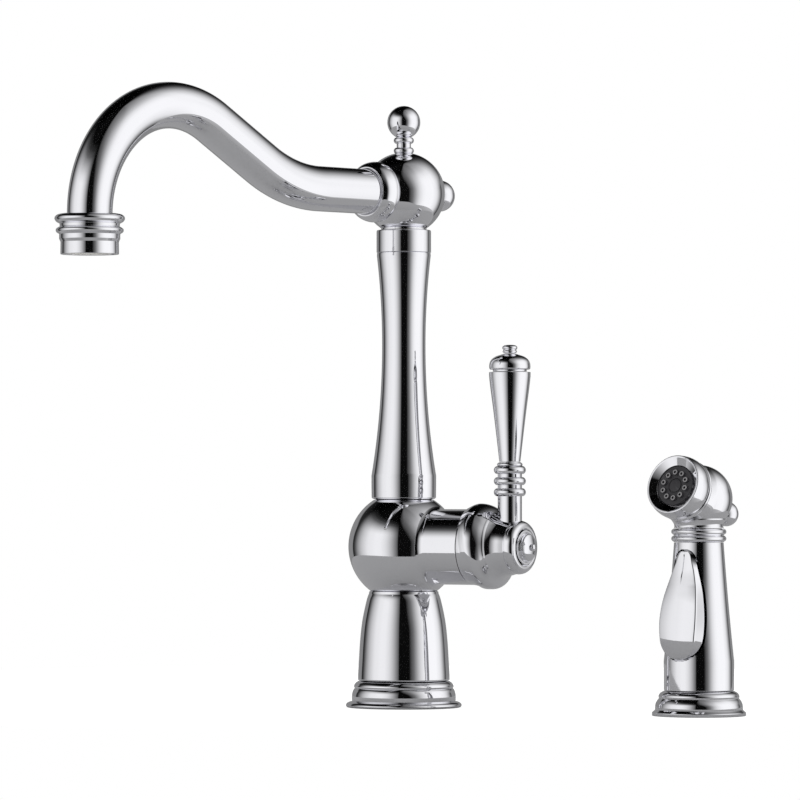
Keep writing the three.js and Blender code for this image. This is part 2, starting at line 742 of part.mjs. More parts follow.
function columnAssembly() {
  const steps = 9;
  const vase = Array.from({ length: steps + 1 }, (_, i) => {
    const height = COLUMN_FOOT_HEIGHT + ((COLUMN_HEIGHT - COLUMN_FOOT_HEIGHT) * i) / steps;
    return [columnRadius(height), columnFoot + height];
  });
  const column = revolve([
    [COLUMN_BORE_R, columnFoot],
    [COLUMN_FOOT_R - 0.8, columnFoot],
    [COLUMN_FOOT_R, columnFoot + 2],
    ...vase,
    [COLUMN_BORE_R, columnTop],
  ], FINE);
  const cap = revolve([
    [COLUMN_BORE_R, capFoot],
    [COLUMN_TOP_R, capFoot],
    [COLUMN_TOP_R, capTop - 1],
    [COLUMN_TOP_R - 0.9, capTop],
    [COLUMN_BORE_R, capTop],
  ], FINE);

  const postR = COLUMN_BORE_R - GAP;
  const postFoot = hubFoot - POST_BELOW;
  const postTop = hubFoot + POST_ABOVE;
  const grooveFloor = postR - O_RING_DEPTH;
  const grooveFeet = [hubFoot + 5, hubFoot + 11];
  const groove = (foot) => [
    [postR, foot],
    [grooveFloor, foot],
    [grooveFloor, foot + O_RING_HEIGHT + 2 * GAP],
    [postR, foot + O_RING_HEIGHT + 2 * GAP],
  ];
  const post = revolve([
    [POST_BORE_R, postFoot],
    [postR, postFoot],
    ...grooveFeet.flatMap(groove),
    [postR, postTop],
    [POST_BORE_R, postTop],
  ], TURNING);
  const oRing = (foot) => {
    const middle = foot + GAP + O_RING_HEIGHT / 2;
    const centreR = grooveFloor + 0.1 + O_RING_DEPTH / 2;
    const round = arc(centreR, middle, 1, 0, 270, 3);
    return revolve(round.map(([r, h]) => [
      centreR + ((r - centreR) * O_RING_DEPTH) / 2,
      middle + ((h - middle) * O_RING_HEIGHT) / 2,
    ]), TURNING);
  };
  const riserFoot = valveZ + 6 + SPOOL_HEIGHT + SPOOL_TRAVEL + 3;
  const washerFoot = hubFoot;
  return group(
    node("column", column, chrome),
    node("cap_band", cap, chrome),
    node("riser_tube", tube(RISER_R - RISER_WALL, RISER_R, riserFoot, postFoot - GAP, COARSE), copper),
    node("swivel_post", post, brass),
    node("lower_o_ring", oRing(grooveFeet[0]), rubber),
    node("upper_o_ring", oRing(grooveFeet[1]), rubber),
    node("swivel_washer",
      tube(COLUMN_BORE_R + GAP, WASHER_R, washerFoot, washerFoot + WASHER_HEIGHT, TURNING), nylon),
  );
}

function diverterAssembly() {
  const foot = valveZ + 6 + GAP;
  const spoolR = WATERWAY_R - GAP;
  const spool = revolve([
    [0, foot],
    [spoolR, foot],
    [spoolR, foot + SPOOL_HEIGHT * 0.3],
    [spoolR - 2.6, foot + SPOOL_HEIGHT * 0.35],
    [spoolR - 2.6, foot + SPOOL_HEIGHT * 0.65],
    [spoolR, foot + SPOOL_HEIGHT * 0.7],
    [spoolR, foot + SPOOL_HEIGHT],
    [0, foot + SPOOL_HEIGHT],
  ], COARSE);
  return group(node("diverter_spool", spool, nylon));
}

// ---- Spout, made in its own vertical plane with the tube towards +X ----

const slope = degrees(RISE_ANGLE);
const riseEnd = new THREE.Vector2(
  RISE_START + RISE_BEND_R * Math.sin(slope),
  RISE_BEND_R * (1 - Math.cos(slope)),
);
const crookStart = new THREE.Vector2(
  riseEnd.x + RISE_LENGTH * Math.cos(slope),
  riseEnd.y + RISE_LENGTH * Math.sin(slope),
);
const crookCentre = new THREE.Vector2(
  crookStart.x + CROOK_R * Math.sin(slope),
  crookStart.y - CROOK_R * Math.cos(slope),
);
const reach = crookCentre.x + CROOK_R;
const outletTop = hubZ + crookCentre.y;

// The tube's centreline at a distance s from its start, as a point in the spout's plane.
class SpoutLine extends THREE.Curve {
  constructor() {
    super();
    this.level = RISE_START - TUBE_INSERTION;
    this.bend = RISE_BEND_R * slope;
    this.crook = CROOK_R * (slope + Math.PI / 2);
    this.drop = OUTLET_OVERLAP;
    this.total = this.level + this.bend + RISE_LENGTH + this.crook + this.drop;
  }

  getPoint(t, target = new THREE.Vector3()) {
    let s = t * this.total;
    if (s <= this.level) return target.set(TUBE_INSERTION + s, 0, hubZ);
    s -= this.level;
    if (s <= this.bend) {
      const angle = s / RISE_BEND_R;
      return target.set(
        RISE_START + RISE_BEND_R * Math.sin(angle), 0, hubZ + RISE_BEND_R * (1 - Math.cos(angle)));
    }
    s -= this.bend;
    if (s <= RISE_LENGTH) {
      return target.set(
        riseEnd.x + s * Math.cos(slope), 0, hubZ + riseEnd.y + s * Math.sin(slope));
    }
    s -= RISE_LENGTH;
    if (s <= this.crook) {
      const angle = s / CROOK_R - slope;
      return target.set(
        crookCentre.x + CROOK_R * Math.sin(angle), 0,
        hubZ + crookCentre.y + CROOK_R * Math.cos(angle));
    }
    return target.set(reach, 0, outletTop - (s - this.crook));
  }
}

function spoutTube() {
  const section = new THREE.Shape().absarc(0, 0, TUBE_R, 0, 2 * Math.PI);
  section.holes.push(new THREE.Path().absarc(0, 0, TUBE_R - TUBE_WALL, 0, 2 * Math.PI, true));
  return new THREE.ExtrudeGeometry(section, {
    extrudePath: new SpoutLine(),
    steps: 24,
    curveSegments: 7,
    bevelEnabled: false,
  });
}

// The hub's outside, grown by a margin.
function hubBall(margin) {
  const startAngle = THREE.MathUtils.radToDeg(Math.asin(-legOf(HUB_R, HUB_FOOT_R) / HUB_R));
  return revolve([
    [0, hubFoot],
    [HUB_FOOT_R + 0.4 + margin, hubFoot],
    ...arc(0, hubZ, HUB_R + margin, startAngle, 90, 10),
  ], FINE);
}

function spoutHub() {
  return combine([hubBall(0)], [
    cylinder(WASHER_R + GAP, hubFoot - 1, hubFoot + WASHER_HEIGHT + GAP, TURNING),
    cylinder(COLUMN_BORE_R, hubFoot, hubZ, TURNING),
    alongX(cylinder(COLUMN_BORE_R - 0.5, 0, TUBE_INSERTION, MEDIUM)).translate(0, 0, hubZ),
    alongX(cylinder(TUBE_R + 2 * GAP, TUBE_INSERTION - GAP, HUB_R + 1, FINE)).translate(0, 0, hubZ),
    cylinder(FINIAL_STUD_R + GAP, hubTop - FINIAL_STUD_LENGTH - GAP, hubTop + 1, COARSE),
    alongX(cylinder(BACK_STUD_R + GAP, -HUB_R - 1, -HUB_R + FINIAL_STUD_LENGTH, COARSE))
      .translate(0, 0, hubZ),
  ]);
}

function spoutCollar() {
  const end = COLLAR_START + COLLAR_LENGTH;
  const bore = TUBE_R + 0.4;
  const ring = alongX(revolve([
    [bore, COLLAR_START],
    [COLLAR_R - 1, COLLAR_START],
    ...smooth([
      [COLLAR_R - 0.4, COLLAR_START + 4],
      [COLLAR_R, COLLAR_START + 8],
      [COLLAR_R - 0.4, COLLAR_START + 12],
      [COLLAR_R - 1.6, end - 1.6],
      [COLLAR_R - 2.8, end - 0.2],
    ], 6),
    [COLLAR_R - 3.3, end],
    [COLLAR_R - 3.8, end - 0.5],
    [bore, end - 1.8],
  ], FINE)).translate(0, 0, hubZ);
  return combine([ring], [hubBall(GAP)]);
}

function hubFinial() {
  const footH = hubTop - 3;
  const ballZ = hubTop + FINIAL_HEIGHT;
  const bead = (height, half) => [
    [FINIAL_WAIST_R, height - half],
    [FINIAL_BEAD_R - 0.5, height - half * 0.7],
    [FINIAL_BEAD_R, height],
    [FINIAL_BEAD_R - 0.5, height + half * 0.7],
    [FINIAL_WAIST_R, height + half],
  ];
  const ballStart = THREE.MathUtils.radToDeg(-Math.acos((FINIAL_WAIST_R - 0.3) / FINIAL_BALL_R));
  const turned = revolve([
    [0, footH],
    [FINIAL_FOOT_R, footH],
    [FINIAL_FOOT_R, hubTop - 0.6],
    ...bead(hubTop + FINIAL_HEIGHT * 0.045, 1.3),
    ...bead(hubTop + FINIAL_HEIGHT * 0.4, 1.3),
    ...arc(0, ballZ, FINIAL_BALL_R, ballStart, 90, 7),
  ], MEDIUM);
  const stud = cylinder(FINIAL_STUD_R, hubTop - FINIAL_STUD_LENGTH, hubTop + 4, COARSE);
  return combine([combine([turned], [hubBall(GAP)]), stud]);
}

function hubBackBall() {
  const centre = -BACK_BALL_OFFSET;
  const rear = combine([ball(BACK_BALL_R, 0, MEDIUM).translate(centre, 0, hubZ)], [hubBall(GAP)]);
  const stud = alongX(cylinder(BACK_STUD_R, centre, -HUB_R + FINIAL_STUD_LENGTH - GAP, COARSE));
  return combine([rear, stud.translate(0, 0, hubZ)]);
}

function outletAssembly() {
  const top = outletTop;
  const foot = top - OUTLET_HEIGHT;
  const tubeEnd = top - OUTLET_OVERLAP - GAP;
  const shell = revolve([
    [TUBE_R + GAP, top],
    [OUTLET_RING_R - 3.2, top],
    ...smooth([
      [OUTLET_RING_R - 1, top - 0.9],
      [OUTLET_RING_R, top - 2.7],
      [OUTLET_RING_R - 0.8, top - 4.4],
      [OUTLET_BODY_R, top - 5.3],
    ], 5),
    [OUTLET_BODY_R - 0.5, top - 7.4],
    [OUTLET_RING_R - 1.4, top - 8],
    [OUTLET_RING_R - 0.8, top - 9.3],
    [OUTLET_RING_R - 1.4, top - 10.7],
    [OUTLET_BODY_R, top - 11.4],
    [OUTLET_BODY_R, top - 14],
    [OUTLET_MOUTH_R, top - 16.4],
    [OUTLET_MOUTH_R, foot + 0.4],
    [OUTLET_MOUTH_R - 0.5, foot],
    [OUTLET_BORE_R, foot],
    [OUTLET_BORE_R, tubeEnd],
    [TUBE_R + GAP, tubeEnd],
  ], FINE);
  const washerTop = tubeEnd - GAP;
  const washerFoot = washerTop - AERATOR_WASHER_HEIGHT;
  const insertTop = washerFoot - GAP;
  const insertFoot = insertTop - AERATOR_HEIGHT;
  const insertR = OUTLET_BORE_R - GAP;
  const holes = [];
  const rows = 1;
  for (let q = -rows; q <= rows; q++) {
    for (let r = Math.max(-rows, -q - rows); r <= Math.min(rows, -q + rows); r++) {
      holes.push(cylinder(AERATOR_HOLE_R, insertFoot - 1, insertTop + 1, 6)
        .translate(AERATOR_PITCH * (q + r / 2), AERATOR_PITCH * r * Math.sin(degrees(60)), 0));
    }
  }
  const insert = combine([cylinder(insertR, insertFoot, insertTop, MEDIUM)], holes);
  const parts = group(
    node("outlet_shell", shell, chrome),
    node("aerator_washer",
      tube(TUBE_R - TUBE_WALL - 1, insertR, washerFoot, washerTop, MEDIUM), rubber),
    node("aerator_insert", insert, nylon),
  );
  parts.position.x = reach;
  return parts;
}

function spoutAssembly() {
  const spout = group(
    node("spout_hub", spoutHub(), chrome),
    node("spout_collar", spoutCollar(), chrome),
    node("spout_tube", spoutTube(), chrome),
    node("hub_finial", hubFinial(), chrome),
    node("hub_back_ball", hubBackBall(), chrome),
    outletAssembly(),
  );
  spout.rotation.z = degrees(SPOUT_HEADING);
  return spout;
}

// ---- Side spray: holder ----

const holderSeat = HOLDER_HEIGHT + GAP;

function holderAssembly() {
  const step = (share) => HOLDER_HEIGHT * share;
  const holder = revolve([
    [HOLDER_BORE_R, 0],
    [HOLDER_R, 0],
    [HOLDER_R, step(0.12)],
    [HOLDER_R - 1.6, step(0.24)],
    [HOLDER_R - 2, step(0.48)],
    [HOLDER_R - 3.1, step(0.72)],
    [HOLDER_R - 4.2, step(0.9)],
    [SPRAY_FOOT_R + 0.2, HOLDER_HEIGHT],
    [HOLDER_BORE_R, HOLDER_HEIGHT],
  ], FINE);
  const bushR = HOLDER_BORE_R - GAP;
  const bush = tube(bushR - BUSH_WALL, bushR, 1, HOLDER_HEIGHT - 0.6, FINE);
  return group(node("spray_holder", holder, chrome), node("holder_bush", bush, nylon));
}

// ---- Side spray: hand piece, facing +X in its own frame ----

const taperFoot = holderSeat + SPRAY_FOOT_HEIGHT;
const sprayTop = taperFoot + SPRAY_TAPER_HEIGHT;
const collarFoot = sprayTop + GAP;
const collarTop = collarFoot + SPRAY_COLLAR_HEIGHT;
const headFoot = collarTop + GAP;
const headZ = headFoot + legOf(HEAD_R, HEAD_NECK_R) + 1.9;

// The taper as a parabola through its foot, its middle and its top.
function sprayRadius(z) {
  const t = THREE.MathUtils.clamp((z - taperFoot) / SPRAY_TAPER_HEIGHT, 0, 1);
  const sag = 4 * (SPRAY_MIDDLE_R - (SPRAY_FOOT_R + SPRAY_TOP_R) / 2);
  return SPRAY_FOOT_R + (SPRAY_TOP_R - SPRAY_FOOT_R) * t + sag * t * (1 - t);
}

// The paddle's stations: height, half width at the body's surface, half width and distance of its face.
const TRIGGER_STATIONS = [
  [32.6, 2.2, 1.2, 21.2],
  [34.4, 6.8, 5, 22.4],
  [38.5, 10.8, 9, 23.8],
  [45.2, 13, 11.6, 24.4],
  [55.4, 13.1, 12, 23.8],
  [65, 12.5, 11.2, 22.2],
  [74, 11.3, 9.4, 19.8],
  [83, 9.2, 6.8, 17.2],
  [90, 7.4, 4.8, 15.7],
  [94, 5.2, 3.2, 15],
  [95.6, 2.4, 1.4, 14.6],
];
const triggerFoot = TRIGGER_STATIONS[0][0];
const triggerTop = TRIGGER_STATIONS.at(-1)[0];

// The paddle's flat back, from the spray's axis, at a height.
function triggerBack(z) {
  const t = (z - triggerFoot) / (triggerTop - triggerFoot);
  return THREE.MathUtils.lerp(TRIGGER_BACK_FOOT, TRIGGER_BACK_TOP, t);
}

function triggerRing([z, half, faceHalf, faceX]) {
  const back = triggerBack(z);
  const shoulder = Math.max(legOf(sprayRadius(z), half), back + 0.6);
  return [
    [back, -half, z],
    [shoulder, -half, z],
    [faceX - 0.9, -faceHalf, z],
    [faceX, -faceHalf * 0.55, z],
    [faceX, faceHalf * 0.55, z],
    [faceX - 0.9, faceHalf, z],
    [shoulder, half, z],
    [back, half, z],
  ];
}

function recessSolid() {
  const far = SPRAY_FOOT_R + 8;
  const last = TRIGGER_STATIONS.length - 1;
  const rings = TRIGGER_STATIONS.map(([z, half], i) => {
    const height = i === 0 ? z - 1.6 : i === last ? z + TRIGGER_GAP : z - 0.5;
    const wide = half + TRIGGER_GAP + (i > 0 && i < 4 ? 0.5 : 0);
    return [
      [RECESS_FLOOR_X, -wide, height],
      [far, -wide, height],
      [far, wide, height],
      [RECESS_FLOOR_X, wide, height],
    ];
  });
  return loft(rings);
}

function sprayBody() {
  const steps = 6;
  const taper = Array.from({ length: steps + 1 }, (_, i) => {
    const z = taperFoot + (SPRAY_TAPER_HEIGHT * i) / steps;
    return [sprayRadius(z), z];
  });
  const shankFoot = holderSeat - SHANK_LENGTH;
  const outside = revolve([
    [0, shankFoot],
    [SHANK_R, shankFoot],
    [SHANK_R, holderSeat],
    [SPRAY_FOOT_R, holderSeat],
    ...taper,
    [0, sprayTop],
  ], FINE);
  const pinReach = TRIGGER_PIN_LENGTH / 2 + GAP;
  const pinHole = alongY(cylinder(TRIGGER_PIN_R + GAP, -pinReach, pinReach, 12))
    .translate(TRIGGER_PIVOT_X, 0, TRIGGER_PIVOT_Z);
  const plungerHole = alongX(cylinder(PLUNGER_R + GAP, SPRAY_BORE_R - 1, RECESS_FLOOR_X + 1, 12))
    .translate(0, 0, PLUNGER_Z);
  return combine([outside], [
    cylinder(SHANK_BORE_R, shankFoot - 1, holderSeat + 5, TURNING),
    cylinder(SPRAY_BORE_R, holderSeat, sprayTop + 1, COARSE),
    recessSolid(),
    pinHole,
    plungerHole,
  ]);
}

function sprayCollar() {
  const ringAt = (z) => [
    [SPRAY_GROOVE_R, z - 1.7],
    [SPRAY_RING_R, z - 0.7],
    [SPRAY_RING_R, z + 0.7],
    [SPRAY_GROOVE_R, z + 1.7],
  ];
  return revolve([
    [SPRAY_BORE_R, collarFoot],
    [SPRAY_GROOVE_R, collarFoot],
    ...ringAt(collarFoot + 2.1),
    ...ringAt(collarFoot + 2.1 + SPRAY_RING_PITCH),
    [HEAD_NECK_R + 0.3, collarTop],
    [SPRAY_BORE_R, collarTop],
  ], FINE);
}

// The head's own parts are made about +Z from the ball's centre, which then points forward and up.
const headTurn = new THREE.Matrix4().makeRotationY(degrees(90 - HEAD_TILT));

function sprayHead() {
  const spigotR = BEZEL_THREAD_R - GAP;
  const upright = cylinder(HEAD_NECK_R, headFoot - headZ, -6, FINE);
  const headBall = ball(HEAD_R, 0, FINE);
  const cutFront = cylinder(HEAD_R + 2, HEAD_FRONT, HEAD_R + 2, FINE).applyMatrix4(headTurn);
  const spigot = cylinder(spigotR, 0, HEAD_FRONT + 5, MEDIUM).applyMatrix4(headTurn);
  const tubeHole = cylinder(SPRAY_BORE_R, headFoot - headZ - 1, 0, COARSE);
  const port = cylinder(HEAD_PORT_R, 1, HEAD_FRONT + 6, MEDIUM).applyMatrix4(headTurn);
  const studHole = cylinder(BACK_STUD_R + GAP, -HEAD_R - 1, -HEAD_R + 8, COARSE)
    .applyMatrix4(headTurn);
  const below = cylinder(HEAD_R + 2, -HEAD_R - 2, headFoot - headZ, MEDIUM);
  const cut = combine([headBall, upright], [cutFront, below]);
  return combine([cut, spigot], [tubeHole, port, studHole]);
}

function sprayBezel() {
  const start = HEAD_FRONT + GAP;
  const faceBack = BEZEL_END - FACE_RECESS - 5.2;
  return revolve([
    [BEZEL_THREAD_R, start],
    [BEZEL_R - 0.5, start],
    [BEZEL_BEAD_R, start + 1],
    [BEZEL_BEAD_R, start + 2.4],
    [BEZEL_R - 0.5, start + 3.2],
    [BEZEL_R, start + 4],
    [BEZEL_R, BEZEL_END - 1.4],
    [BEZEL_R - 0.5, BEZEL_END - 0.3],
    [BEZEL_RIM_R + 0.4, BEZEL_END],
    [BEZEL_RIM_R - 0.4, BEZEL_END - 0.2],
    [BEZEL_LIP_R, BEZEL_END - FACE_RECESS + 0.5],
    [BEZEL_LIP_R, BEZEL_END - FACE_RECESS - 1],
    [BEZEL_BORE_R, BEZEL_END - FACE_RECESS - 1],
    [BEZEL_BORE_R, faceBack - 3],
    [BEZEL_THREAD_R, faceBack - 3],
  ], FINE);
}

function sprayFace() {
  const front = BEZEL_END - FACE_RECESS;
  const shoulder = front - 1 - GAP;
  const back = front - 5.2;
  const disc = revolve([
    [0, back],
    [BEZEL_BORE_R - GAP, back],
    [BEZEL_BORE_R - GAP, shoulder],
    [BEZEL_LIP_R - GAP, shoulder],
    [BEZEL_LIP_R - GAP, front],
    [FACE_PAD_R + 0.5, front],
    [FACE_PAD_R + 0.2, front - 0.4],
    [FACE_PAD_R, front + 0.3],
    [0, front + 0.5],
  ], MEDIUM);
  const nozzles = [];
  const holes = [];
  for (let i = 0; i < NOZZLE_COUNT; i++) {
    const angle = degrees((360 * i) / NOZZLE_COUNT);
    const x = NOZZLE_CIRCLE_R * Math.cos(angle);
    const y = NOZZLE_CIRCLE_R * Math.sin(angle);
    const nozzle = revolve([
      [0, front - 1],
      [NOZZLE_R, front - 1],
      [NOZZLE_R, front],
      [NOZZLE_R * 0.8, front + NOZZLE_HEIGHT],
      [0, front + NOZZLE_HEIGHT],
    ], 6);
    nozzles.push(nozzle.translate(x, y, 0));
    holes.push(cylinder(NOZZLE_HOLE_R, back - 1, front + NOZZLE_HEIGHT + 1, 5).translate(x, y, 0));
  }
  return combine([disc, ...nozzles], holes);
}

function sprayBackBall() {
  const neck = cylinder(SPRAY_BALL_NECK_R, -SPRAY_BALL_OFFSET, -HEAD_R + 1, COARSE);
  const rear = combine(
    [ball(SPRAY_BALL_R, 0, MEDIUM).translate(0, 0, -SPRAY_BALL_OFFSET), neck],
    [ball(HEAD_R + GAP, 0, FINE)],
  );
  return combine([rear, cylinder(BACK_STUD_R, -SPRAY_BALL_OFFSET, -HEAD_R + 8 - GAP, COARSE)]);
}

function triggerSpring() {
  const start = RECESS_FLOOR_X + GAP + SPRING_WIRE_R;
  const end = triggerBack(SPRING_Z + SPRING_R + SPRING_WIRE_R) - GAP - SPRING_WIRE_R;
  const length = end - start;
  const points = Array.from({ length: SPRING_TURNS * 8 + 1 }, (_, i) => {
    const turn = (i / 8) * 2 * Math.PI;
    return new THREE.Vector3(
      start + (length * i) / (SPRING_TURNS * 8), SPRING_R * Math.cos(turn), SPRING_R * Math.sin(turn));
  });
  const section = new THREE.Shape().absarc(0, 0, SPRING_WIRE_R, 0, 2 * Math.PI);
  return new THREE.ExtrudeGeometry(section, {
    extrudePath: new THREE.CatmullRomCurve3(points),
    steps: SPRING_TURNS * 8,
    curveSegments: 2,
    bevelEnabled: false,
  }).translate(0, 0, SPRING_Z);
}

function handSpray() {
  const pinHole = alongY(cylinder(TRIGGER_PIN_R + GAP, -SPRAY_FOOT_R, SPRAY_FOOT_R, 12))
    .translate(TRIGGER_PIVOT_X, 0, TRIGGER_PIVOT_Z);
  const trigger = combine([loft(TRIGGER_STATIONS.map(triggerRing))], [pinHole]);
  const pin = alongY(cylinder(TRIGGER_PIN_R, -TRIGGER_PIN_LENGTH / 2, TRIGGER_PIN_LENGTH / 2, 12))
    .translate(TRIGGER_PIVOT_X, 0, TRIGGER_PIVOT_Z);
  const plungerEnd = triggerBack(PLUNGER_Z + PLUNGER_R) - GAP;
  const sealStart = RECESS_FLOOR_X + GAP;
  const plunger = alongX(cylinder(PLUNGER_R, RECESS_FLOOR_X - 0.4, plungerEnd, 12))
    .translate(0, 0, PLUNGER_Z);
  const plungerSeal = alongX(tube(PLUNGER_R + GAP, PLUNGER_SEAL_R, sealStart,
    sealStart + PLUNGER_SEAL_HEIGHT, COARSE)).translate(0, 0, PLUNGER_Z);
  const tubeR = SPRAY_BORE_R - GAP;
  const tubeFoot = holderSeat + 5.4;
  const shankFoot = holderSeat - SHANK_LENGTH;
  const connectorTop = holderSeat + 4.6;
  const connector = revolve([
    [3.2, shankFoot - 1.4],
    [SHANK_BORE_R - GAP, shankFoot - 1.4],
    [SHANK_BORE_R - GAP, connectorTop - 5],
    [SHANK_BORE_R - 2, connectorTop - 5],
    [SHANK_BORE_R - 2, connectorTop - 2.4],
    [SHANK_BORE_R - GAP, connectorTop - 2.4],
    [SHANK_BORE_R - GAP, connectorTop],
    [3.2, connectorTop],
  ], TURNING);
  const hoseRing = tube(SHANK_BORE_R - 2 + 0.15, SHANK_BORE_R - GAP, connectorTop - 4.7,
    connectorTop - 2.7, TURNING);
  const head = group(
    node("spray_bezel", sprayBezel(), chrome),
    node("spray_face", sprayFace(), blackRubber),
    node("spray_back_ball", sprayBackBall(), chrome),
  );
  head.position.z = headZ;
  head.rotation.y = degrees(90 - HEAD_TILT);
  const headNode = node("spray_head", sprayHead(), chrome);
  headNode.position.z = headZ;
  const spray = group(
    node("spray_body", sprayBody(), chrome),
    node("spray_water_tube",
      tube(tubeR - SPRAY_TUBE_WALL, tubeR, tubeFoot, headFoot + 3, COARSE), nylon),
    node("spray_collar", sprayCollar(), chrome),
    headNode,
    head,
    node("spray_trigger", trigger, chrome),
    node("trigger_pin", pin, steel),
    node("valve_plunger", plunger, brass),
    node("plunger_seal", plungerSeal, rubber),
    node("trigger_spring", triggerSpring(), steel),
    node("hose_connector", connector, brass),
    node("hose_o_ring", hoseRing, rubber),
  );
  spray.rotation.z = degrees(SPRAY_HEADING);
  return spray;
}

// ---- The whole faucet ----

const faucet = new THREE.Group();
faucet.add(baseAssembly(), columnAssembly(), diverterAssembly(), spoutAssembly());

const valve = node("valve_body", valveBody(), chrome);
valve.position.z = valveZ;
faucet.add(valve);

const barrelLine = group(cartridgeAssembly(), spindleAssembly(), handleAssembly());
barrelLine.position.z = valveZ;
barrelLine.rotation.y = Math.PI / 2;
faucet.add(barrelLine);

const lever = leverAssembly();
lever.position.set(LEVER_X, 0, valveZ);
faucet.add(lever);

const sideSpray = group(holderAssembly(), handSpray());
sideSpray.position.x = HOLE_SPACING;
faucet.add(sideSpray);

export default faucet;
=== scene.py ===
# %% [markdown]
# # A kitchen faucet with a side spray
#
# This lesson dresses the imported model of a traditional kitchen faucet: a swivel spout
# on a waisted column, a single side lever, and a separate hand spray in its holder.
# Nearly everything that shows is polished chrome. Chrome has no colour of its own, so
# two things decide how it looks: how smoothly each form is turned, and what stands
# round it in the studio. The lesson therefore goes through the studio first, then the
# finishes, and then the pieces, from the deck upwards.

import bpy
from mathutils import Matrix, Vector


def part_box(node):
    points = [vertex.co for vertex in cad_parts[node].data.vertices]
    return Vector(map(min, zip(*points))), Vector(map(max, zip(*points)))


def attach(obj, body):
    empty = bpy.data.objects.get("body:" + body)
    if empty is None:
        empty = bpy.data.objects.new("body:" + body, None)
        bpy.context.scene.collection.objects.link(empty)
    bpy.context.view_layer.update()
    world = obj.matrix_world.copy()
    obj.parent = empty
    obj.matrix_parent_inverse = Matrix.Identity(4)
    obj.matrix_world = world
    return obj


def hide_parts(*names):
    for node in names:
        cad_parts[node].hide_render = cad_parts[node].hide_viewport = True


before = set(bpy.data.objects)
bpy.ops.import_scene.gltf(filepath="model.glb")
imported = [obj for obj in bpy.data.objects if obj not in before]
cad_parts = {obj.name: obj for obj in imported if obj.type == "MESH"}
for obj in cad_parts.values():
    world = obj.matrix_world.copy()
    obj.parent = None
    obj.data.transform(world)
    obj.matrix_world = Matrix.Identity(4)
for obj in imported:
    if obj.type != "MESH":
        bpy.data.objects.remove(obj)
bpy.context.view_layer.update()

# %% [markdown]
# ## Where things are
#
# The CAD model is the frame for everything here, so heights and centres are read from
# its nodes. Drawings of taps are in millimetres, and Blender works in metres: outlines
# below are written in millimetres, and MM turns them into metres when a mesh is made.

# %% Heights and centres from the CAD nodes
import math

import bpy
from mathutils import Matrix, Vector

MM = 0.001


def span(node):
    """The lowest and the highest point of a CAD node, in millimetres."""
    low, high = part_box(node)
    return low.z / MM, high.z / MM


def middle(node):
    """The middle of a CAD node's box, in millimetres."""
    low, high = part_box(node)
    return (low + high) / (2 * MM)


valve_z = middle("cartridge_housing").z
hub_z = middle("hub_back_ball").z
lever_x = middle("lever_button").x
spray_x = middle("spray_holder").x
print(f"valve axis {valve_z:.2f}, spout axis {hub_z:.2f}, lever at {lever_x:.2f}, spray at {spray_x:.2f} mm")

# %% [markdown]
# ## Directions of the turned pieces
#
# Every turned piece is drawn about an upright axis and then laid where it belongs. The
# valve's barrel lies along +X, the spout points towards the user, and the spray's head
# tilts upwards. A matrix for each of these axes keeps the outlines simple.

# %% Axes of the assembly
SPOUT_HEADING = math.radians(-101)
SPRAY_HEADING = math.radians(-95)
HEAD_TILT = math.radians(17.5)
HEAD_OVER_COLLAR = 17.22  # from the collar's top to the middle of the head's ball


def at(x=0.0, y=0.0, z=0.0):
    """A move by millimetres."""
    return Matrix.Translation((x * MM, y * MM, z * MM))


LAID_ALONG_X = Matrix.Rotation(math.pi / 2, 4, "Y")
BACKWARDS = Matrix.Rotation(math.pi, 4, "Y")
head_z = span("spray_collar")[1] + HEAD_OVER_COLLAR

valve_line = at(z=valve_z) @ LAID_ALONG_X
lever_line = at(lever_x, 0, valve_z)
spout_plane = Matrix.Rotation(SPOUT_HEADING, 4, "Z")
spout_line = spout_plane @ at(z=hub_z) @ LAID_ALONG_X
spray_line = at(spray_x) @ Matrix.Rotation(SPRAY_HEADING, 4, "Z")
head_line = spray_line @ at(z=head_z) @ Matrix.Rotation(math.pi / 2 - HEAD_TILT, 4, "Y")
print(f"the head's ball is at {head_z:.2f} mm")

# %% [markdown]
# ## The camera
#
# The photograph was taken from far away with a long lens, a little above the deck and
# from the user's right. The picture's scale at the main axis gives the lens, and the
# point that lies in the middle of the picture gives the aim.

# %% Camera
VIEW_AZIMUTH = math.radians(32.5)
EYE_HEIGHT = 0.1362
MM_PER_PIXEL = 0.603
DISTANCE_IN_PIXELS = 5000
PICTURE = 800
AIM_RIGHT, AIM_UP = -3.8, 81  # pixels from the main axis at eye height to the picture's middle

scene = bpy.context.scene
to_right = Vector((math.cos(VIEW_AZIMUTH), math.sin(VIEW_AZIMUTH), 0))
to_viewer = Vector((math.sin(VIEW_AZIMUTH), -math.cos(VIEW_AZIMUTH), 0))
distance = DISTANCE_IN_PIXELS * MM_PER_PIXEL * MM

lens = bpy.data.cameras.new("photo_camera")
lens.sensor_width = 36
lens.lens = lens.sensor_width * DISTANCE_IN_PIXELS / PICTURE
lens.clip_end = 50
camera = bpy.data.objects.new("photo_camera", lens)
camera.location = to_viewer * distance + Vector((0, 0, EYE_HEIGHT))
aim = to_right * (AIM_RIGHT * MM_PER_PIXEL * MM) + Vector((0, 0, EYE_HEIGHT + AIM_UP * MM_PER_PIXEL * MM))
camera.rotation_mode = "QUATERNION"
camera.rotation_quaternion = (aim - camera.location).to_track_quat("-Z", "Y")
scene.collection.objects.link(camera)
scene.camera = camera
scene.view_settings.view_transform = "Standard"
print(f"lens {lens.lens:.0f} mm, {distance:.3f} m away")

# %% [markdown]
# ## A helper for node trees
#
# Shader trees get long when each node takes four lines. This helper adds a node, sets
# its own settings, and fills its inputs either with a number or with another node's
# output, so that a tree reads from top to bottom like a recipe.

# %% Adding nodes


